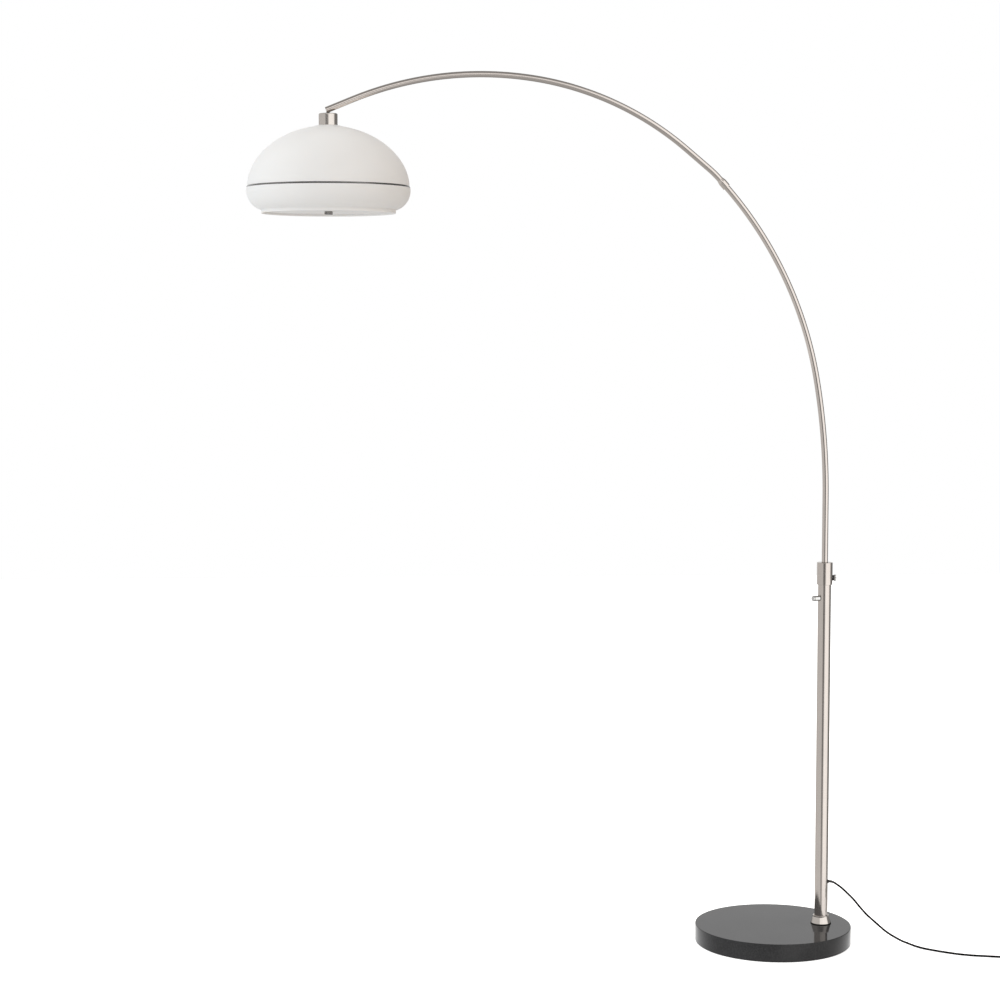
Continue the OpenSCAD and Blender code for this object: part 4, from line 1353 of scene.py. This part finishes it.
@dataclass
class Shade:
    """The shade: cap, opal dome, plated band, opal bowl, lamps, diffuser and finial."""

    wall: float = 2.5 * MM
    fullness: float = 1.92
    crown: float = 26.0 * MM
    dome_steps: int = 30
    bulge: float = 48.0 * MM
    bulge_drop: float = 6.0 * MM
    bulge_fall: float = 46.2 * MM
    proud: float = 2.5 * MM
    band_height: float = 4.0 * MM
    cap_wall: float = 2.0 * MM
    cap_round: float = 2.6 * MM
    cap_top: float = 3.5 * MM
    cap_hole: float = 4.0 * MM
    rod: float = 5.0 * MM
    lamps: int = 3
    holder_start: float = 14.0 * MM
    holder_end: float = 60.0 * MM
    skirt: float = 14.0 * MM
    bulb_seat: float = 26.0 * MM
    globe: float = 22.5 * MM
    globe_reach: float = 50.0 * MM
    knurls: int = 48
    sides: int = 192

    def __post_init__(self) -> None:
        """Reads the shade's axis and its main levels from the frame."""
        self.axis = Vector((middle("shade_dome").x, 0.0, 0.0))
        self.stand = Matrix.Translation(self.axis)
        self.dome_radius = high("shade_dome").x - self.axis.x
        self.dome_edge = low("shade_dome").z
        self.dome_top = high("shade_dome").z
        self.bowl_top = high("shade_bowl").z
        self.rim = low("shade_bowl").z
        self.bowl_radius = self.dome_radius + self.proud

    def build(self) -> None:
        """Makes and dresses the shade."""
        self._dome()
        self._band()
        self._bowl()
        self._cap()
        self._lamps()
        self._diffuser()
        self._finial()
        dress(ZINC, [
            "rod_coupler", "hanging_rod", "dome_washer", "dome_nut", "lamp_hub", "hub_nut", "stop_nut",
        ])

    def _dome_line(self, inset: float) -> list[Point2]:
        """Works out the dome's line from its lower edge to the flat crown, drawn in by inset.

        Args:
            inset: how far inside the outer skin it runs.

        Returns:
            The line's points.
        """
        radius = self.dome_radius - inset
        height = self.dome_top - self.dome_edge - inset
        power = 2 / self.fullness
        line = []
        for i in range(self.dome_steps + 1):
            a = math.radians(90 * i / self.dome_steps)
            r, z = radius * math.cos(a) ** power, height * math.sin(a) ** power
            if r > self.crown + 4 * MM:
                line.append((r, self.dome_edge + z))
        return line + [(self.crown, self.dome_edge + height)]

    def _dome(self) -> None:
        """The dome: a shell of even thickness with a hole for the rod."""
        outer = self._dome_line(0.0)
        inner = self._dome_line(self.wall)
        hole = self.rod + 0.5 * MM
        edge, inside = 0.5 * MM, self.dome_radius - self.wall
        lip = [
            (inside, self.dome_edge + edge), (inside + edge, self.dome_edge),
            (self.dome_radius - edge, self.dome_edge), (self.dome_radius, self.dome_edge + edge),
        ]
        crown = [(hole, self.dome_top), (hole, self.dome_top - self.wall)]
        outline = lip + outer[1:] + crown + inner[:0:-1]
        work = Workpiece("opal_dome").turn(outline, self.stand, self.sides)
        work.finish(OPAL, Body.ARM, Slot.OPAL, ["shade_dome"])

    def _band(self) -> None:
        """The plated band between dome and bowl: a slanted face with eased lips and a locating ring."""
        lip = self.dome_radius - self.wall - 0.6 * MM
        low_z, high_z = self.bowl_top, self.bowl_top + self.band_height
        outline = eased([
            (lip - 2 * MM, low_z - 4 * MM, 0.3 * MM), (lip, low_z - 4 * MM, 0.3 * MM), (lip, low_z, 0.0),
            (self.bowl_radius + 0.4 * MM, low_z, 0.7 * MM), (self.dome_radius + 0.4 * MM, high_z, 0.7 * MM),
            (lip, high_z, 0.0), (lip, high_z + 4 * MM, 0.3 * MM), (lip - 2 * MM, high_z + 4 * MM, 0.3 * MM),
        ])
        work = Workpiece("plated_band").turn(outline, self.stand, self.sides)
        # The band's dark plating colour is painted shade.
        work.finish(BAND_SHADED_PLATE, Body.ARM, Slot.BAND, ["trim_ring"])

    def _bulge_line(self, radius: float) -> list[Point2]:
        """Works out the bowl's bulge from its top edge to the rim.

        Args:
            radius: the bulge's radius.

        Returns:
            The line's points.
        """
        centre = (self.bowl_radius - self.bulge, self.bowl_top - self.bulge_drop)
        first = math.degrees(math.asin(self.bulge_drop / radius))
        last = -math.degrees(math.asin(self.bulge_fall / self.bulge))
        return arc(centre, radius, first, last, 22)

    def _bowl(self) -> None:
        """The bowl: it bulges under the band and curls in to a straight rim."""
        outer = self._bulge_line(self.bulge)
        rim = outer[-1][0]
        bore = rim - self.wall
        shoulder = outer[-1][1] + self.wall
        inner = [p for p in self._bulge_line(self.bulge - self.wall) if p[0] > bore + 0.2 * MM]
        tip = eased([
            (rim, shoulder, 0.0), (rim, self.rim, 1.0 * MM),
            (bore, self.rim, 1.0 * MM), (bore, shoulder, 0.0),
        ], 4)[1:-1]
        outline = outer + tip + [(bore, shoulder)] + inner[::-1]
        work = Workpiece("opal_bowl").turn(outline, self.stand, self.sides)
        work.finish(OPAL, Body.ARM, Slot.OPAL, ["shade_bowl"])

    def _cap(self) -> None:
        """The cap over the dome's crown, hollow for the coupler, with a rounded top edge."""
        bottom, top = low("shade_cap").z, high("shade_cap").z
        outer = high("shade_cap").x - self.axis.x
        inner = outer - self.cap_wall
        hole, ceiling = self.cap_hole, top - self.cap_top
        outline = eased([
            (inner, bottom, 0.2 * MM), (outer, bottom, 0.3 * MM), (outer, top, self.cap_round),
            (hole, top, 0.2 * MM), (hole, ceiling, 0.0), (inner, ceiling, 1.0 * MM),
        ], 6)
        work = Workpiece("crown_cap").turn(outline, self.stand, 128)
        work.finish(CAP_NICKEL, Body.ARM, Slot.NICKEL, ["shade_cap"])

    def _lamps(self) -> None:
        """The lampholders with their skirts, and the bulbs in them."""
        height = middle("lamp_hub").z
        holders, globes = Workpiece("lampholder_set"), Workpiece("bulb_set")
        start, end, seat, skirt = self.holder_start, self.holder_end, self.bulb_seat, self.skirt
        holder = eased([
            (3.0 * MM, start, 0.0), (5.0 * MM, start, 0.4 * MM), (5.0 * MM, start + 4 * MM, 0.0),
            (11.0 * MM, start + 4.2 * MM, 1.0 * MM), (skirt, start + 12 * MM, 2.0 * MM),
            (skirt, end - 20 * MM, 0.4 * MM), (skirt - 0.6 * MM, end - 19 * MM, 0.4 * MM),
            (skirt - 0.6 * MM, end, 0.8 * MM), (8.1 * MM, end, 0.5 * MM), (8.1 * MM, end - seat, 0.0),
            (3.0 * MM, end - seat, 0.0),
        ], 3)
        reach = self.globe_reach
        globe = [(0.0, end - seat), (7.0 * MM, end - seat + 2 * MM), (7.9 * MM, end - seat + 4 * MM)]
        globe += [(7.9 * MM, end), (9.9 * MM, end + 2 * MM)]
        globe += arc((0.0, end + reach - self.globe), self.globe, -50, 90, 20)[:-1]
        globe += [(0.0, end + reach)]
        for i in range(self.lamps):
            way = Matrix.Rotation(math.tau * i / self.lamps, 3, "Z") @ RIGHTWARD
            place = standing(way, self.axis + UP * height)
            holders.turn(holder, place, 64)
            globes.turn(globe, place, 64, closed=False)
        holders.finish(WHITE_PLASTIC, Body.ARM, Slot.WHITE_PLASTIC, ["lampholders"])
        globes.finish(BULB_OPAL, Body.ARM, Slot.BULB, ["bulbs"])

    def _diffuser(self) -> None:
        """The flat diffuser with eased edges and its hole for the rod."""
        bottom, top = low("diffuser").z, high("diffuser").z
        outer = high("diffuser").x - self.axis.x
        hole = self.rod + 0.4 * MM
        outline = eased([
            (hole, bottom, 0.3 * MM), (outer, bottom, 0.6 * MM),
            (outer, top, 0.6 * MM), (hole, top, 0.3 * MM),
        ], 3)
        work = Workpiece("diffuser_disc").turn(outline, self.stand, self.sides)
        work.finish(DIFFUSER_OPAL, Body.DIFFUSER, Slot.OPAL, ["diffuser"])

    def _finial(self) -> None:
        """The finial: a knurled nut with a domed face and a blind bore."""
        bottom, top = low("finial").z, high("finial").z
        outer = high("finial").x - self.axis.x
        bore = self.rod + 0.06 * MM
        outline = eased([
            (0.0, bottom, 0.0), (outer - 2.6 * MM, bottom, 1.5 * MM),
            (outer - 0.6 * MM, bottom + 0.5 * MM, 0.6 * MM),
            (outer, bottom + 1.3 * MM, 0.3 * MM), (outer, top - 1.2 * MM, 0.3 * MM),
            (outer - 0.8 * MM, top, 0.3 * MM), (bore, top, 0.2 * MM), (bore, bottom + 1.9 * MM, 0.0),
            (0.0, bottom + 1.9 * MM, 0.0),
        ], 3)
        work = Workpiece("finial_cap").turn(outline, self.stand, 2 * self.knurls, closed=False)
        work.flute(bottom + 1.0 * MM, top - 0.9 * MM, outer - 0.4 * MM, 0.3 * MM, self.stand)
        # Its dark plating colour is painted shade.
        work.finish(FINIAL_SHADED_PLATE, Body.FINIAL, Slot.BRIGHT, ["finial"], weighted=False)


# ---- Studio --------------------------------------------------------------------------------


@dataclass
class Studio:
    """Camera, floor and light; each strip of panels lists (place, brightness) pairs."""

    eye: Corner = (-0.9487, -5.4463, 1.5183)
    pan: float = 2.917
    dip: float = 4.4805
    lens: float = 81.82
    sensor: float = 36.0
    floor_half: float = 8.0
    floor_gap: float = 0.2 * MM
    floor_glow: float = 0.7
    key_power: float = 2.0
    lean: float = 0.192
    face: float = 0.981
    right: Sequence[Point2] = (
        (0.0, 0.13), (0.07, 0.16), (0.1, 1.0), (0.17, 1.25),
        (0.475, 1.2), (0.55, 0.22), (0.93, 0.22), (0.97, 0.9),
    )
    left: Sequence[Point2] = (
        (0.0, 0.13), (0.09, 0.16), (0.13, 0.62), (0.55, 0.62), (0.7, 0.54), (0.8, 0.8), (1.0, 0.9),
    )
    above: Sequence[Point2] = (
        (0.0, 0.15), (0.03, 0.15), (0.055, 1.2), (0.16, 1.2), (0.22, 0.45),
        (0.3, 0.3), (0.87, 0.25), (0.9, 0.74), (1.0, 0.74),
    )
    below: Sequence[Point2] = (
        (0.0, 0.22), (0.09, 0.24), (0.14, 0.45), (0.6, 0.42), (0.74, 0.24), (0.93, 0.24), (1.0, 0.5),
    )
    ground: Sequence[Point2] = ((0.0, 0.85), (0.5, 0.8), (0.7, 1.25), (1.0, 1.2))
    second_bounce: float = 0.55
    soft_left: Colour = (1.33, 1.35, 1.36)
    soft_right: Colour = (0.87, 0.80, 0.735)
    soft_below: float = 0.88
    key_place: Corner = (-3.6, -3.2, 4.0)
    key_aim: Corner = (-0.6, 0.0, 1.2)
    key_size: float = 2.4

    def build_camera(self) -> None:
        """Sets up the camera."""
        data = bpy.data.cameras.new("view")
        data.lens, data.sensor_width = self.lens, self.sensor
        camera = bpy.data.objects.new("view", data)
        camera.location = self.eye
        camera.rotation_euler = (math.radians(90 - self.dip), 0.0, -math.radians(self.pan))
        bpy.context.collection.objects.link(camera)
        bpy.context.scene.camera = camera

    def build_light(self) -> None:
        """Lays the floor and sets up the light."""
        bpy.context.scene.view_settings.view_transform = "Standard"
        self._floor()
        self._surround()
        self._key()

    def _floor(self) -> None:
        """A plain pale floor."""
        bm = bmesh.new()
        level = Matrix.Translation((0.0, 0.0, -self.floor_gap))
        bmesh.ops.create_grid(bm, x_segments=1, y_segments=1, size=self.floor_half, matrix=level)
        mesh = bpy.data.meshes.new("studio_floor")
        bm.to_mesh(mesh)
        bm.free()
        floor = bpy.data.objects.new("studio_floor", mesh)
        bpy.context.collection.objects.link(floor)
        material = bpy.data.materials.new("floor_paint")
        material.use_nodes = True
        bench = Bench(material.node_tree)
        speck = bench.noise(bench.place(), 30.0, 2.0)
        shader = bench.add("ShaderNodeBsdfPrincipled", {}, {
            "Base Color": bench.blend(speck, (0.9, 0.9, 0.9), (0.92, 0.92, 0.92)), "Roughness": 0.9,
            "Emission Color": (*WHITE, 1.0), "Emission Strength": self.floor_glow,
        })
        bench.add("ShaderNodeOutputMaterial", {}, {"Surface": shader})
        mesh.materials.append(material)
        floor.visible_glossy = False
        floor.visible_diffuse = False

    def _surround(self) -> None:
        """A white studio: bright behind, with soft panels that only shine and shading take up."""
        world = bpy.data.worlds.new("white_studio")
        world.use_nodes = True
        bpy.context.scene.world = world
        bench = Bench(world.node_tree)
        way = bench.add("ShaderNodeTexCoord", out="Generated")
        x, y, z = (bench.add("ShaderNodeSeparateXYZ", {}, {0: way}, k) for k in range(3))
        across, near = self.face * x - self.lean * y, 0 - self.lean * x - self.face * y
        away = bench.add("ShaderNodeMath", {"operation": "ARCCOSINE"}, {0: near}) / math.pi
        lift = z / (across * across + z * z + 0.0001) ** 0.5
        left, right = self._strip(bench, away, self.left), self._strip(bench, away, self.right)
        side = bench.blend(across.step(-0.03, 0.03), left, right)
        gloss = bench.blend(lift.step(0.72, 0.97), side, self._strip(bench, away, self.above))
        gloss = bench.blend((0 - lift).step(0.6, 0.95), gloss, self._strip(bench, away, self.below))
        near_floor = (0 - z).step(0.25, 0.265) * (1 - (0 - z).step(0.29, 0.31))
        gloss = bench.blend(near_floor, gloss, self._strip(bench, away, self.ground))
        soft = bench.blend(x.step(-0.9, 0.9), self.soft_left, self.soft_right)
        soft = bench.blend(z.step(-0.3, 0.3), bench.blend(self.soft_below, BLACK, soft), soft)
        names = ("Is Glossy Ray", "Is Camera Ray", "Glossy Depth")
        glossy, seen, depth = (bench.add("ShaderNodeLightPath", out=name) for name in names)
        gloss = bench.blend(depth.step(1.4, 1.6) * (1 - self.second_bounce), gloss, BLACK)
        light = bench.blend(glossy, soft, gloss)
        light = bench.blend(seen, light, WHITE)
        bench.add("ShaderNodeOutputWorld", {}, {
            "Surface": bench.add("ShaderNodeBackground", {}, {"Color": light, "Strength": 1.0}),
        })

    @staticmethod
    def _strip(bench: Bench, away: Wire, levels: Sequence[Point2]) -> Wire:
        """Lays soft panels along one way round from the camera to the back of the studio.

        Args:
            bench: the world's node tree.
            away: 0 towards the camera and 1 straight behind the lamp.
            levels: (place, brightness) pairs.

        Returns:
            The panels' light.
        """
        stops = [(place, (level, level, level)) for place, level in levels]
        return bench.add("ShaderNodeValToRGB", {"stops": stops}, {0: away})

    def _key(self) -> None:
        """A large soft lamp from the upper left."""
        data = bpy.data.lights.new("key", "AREA")
        data.shape, data.size, data.energy = "DISK", self.key_size, self.key_power
        key = bpy.data.objects.new("key", data)
        key.location = self.key_place
        aim = Vector(self.key_aim) - key.location
        key.rotation_euler = aim.to_track_quat("-Z", "Y").to_euler()
        key.visible_glossy = False
        key.visible_camera = False
        bpy.context.collection.objects.link(key)


def main() -> None:
    """Builds the lamp in its order: camera, cord, then the other sub-assemblies and the light."""
    logging.basicConfig(level=logging.INFO, format="%(name)s: %(message)s")
    studio = Studio()
    studio.build_camera()
    for assembly in (MainsLead(), Base(), Pole(), Arm(), Shade()):
        assembly.build()
    studio.build_light()


if __name__ == "__main__":
    main()
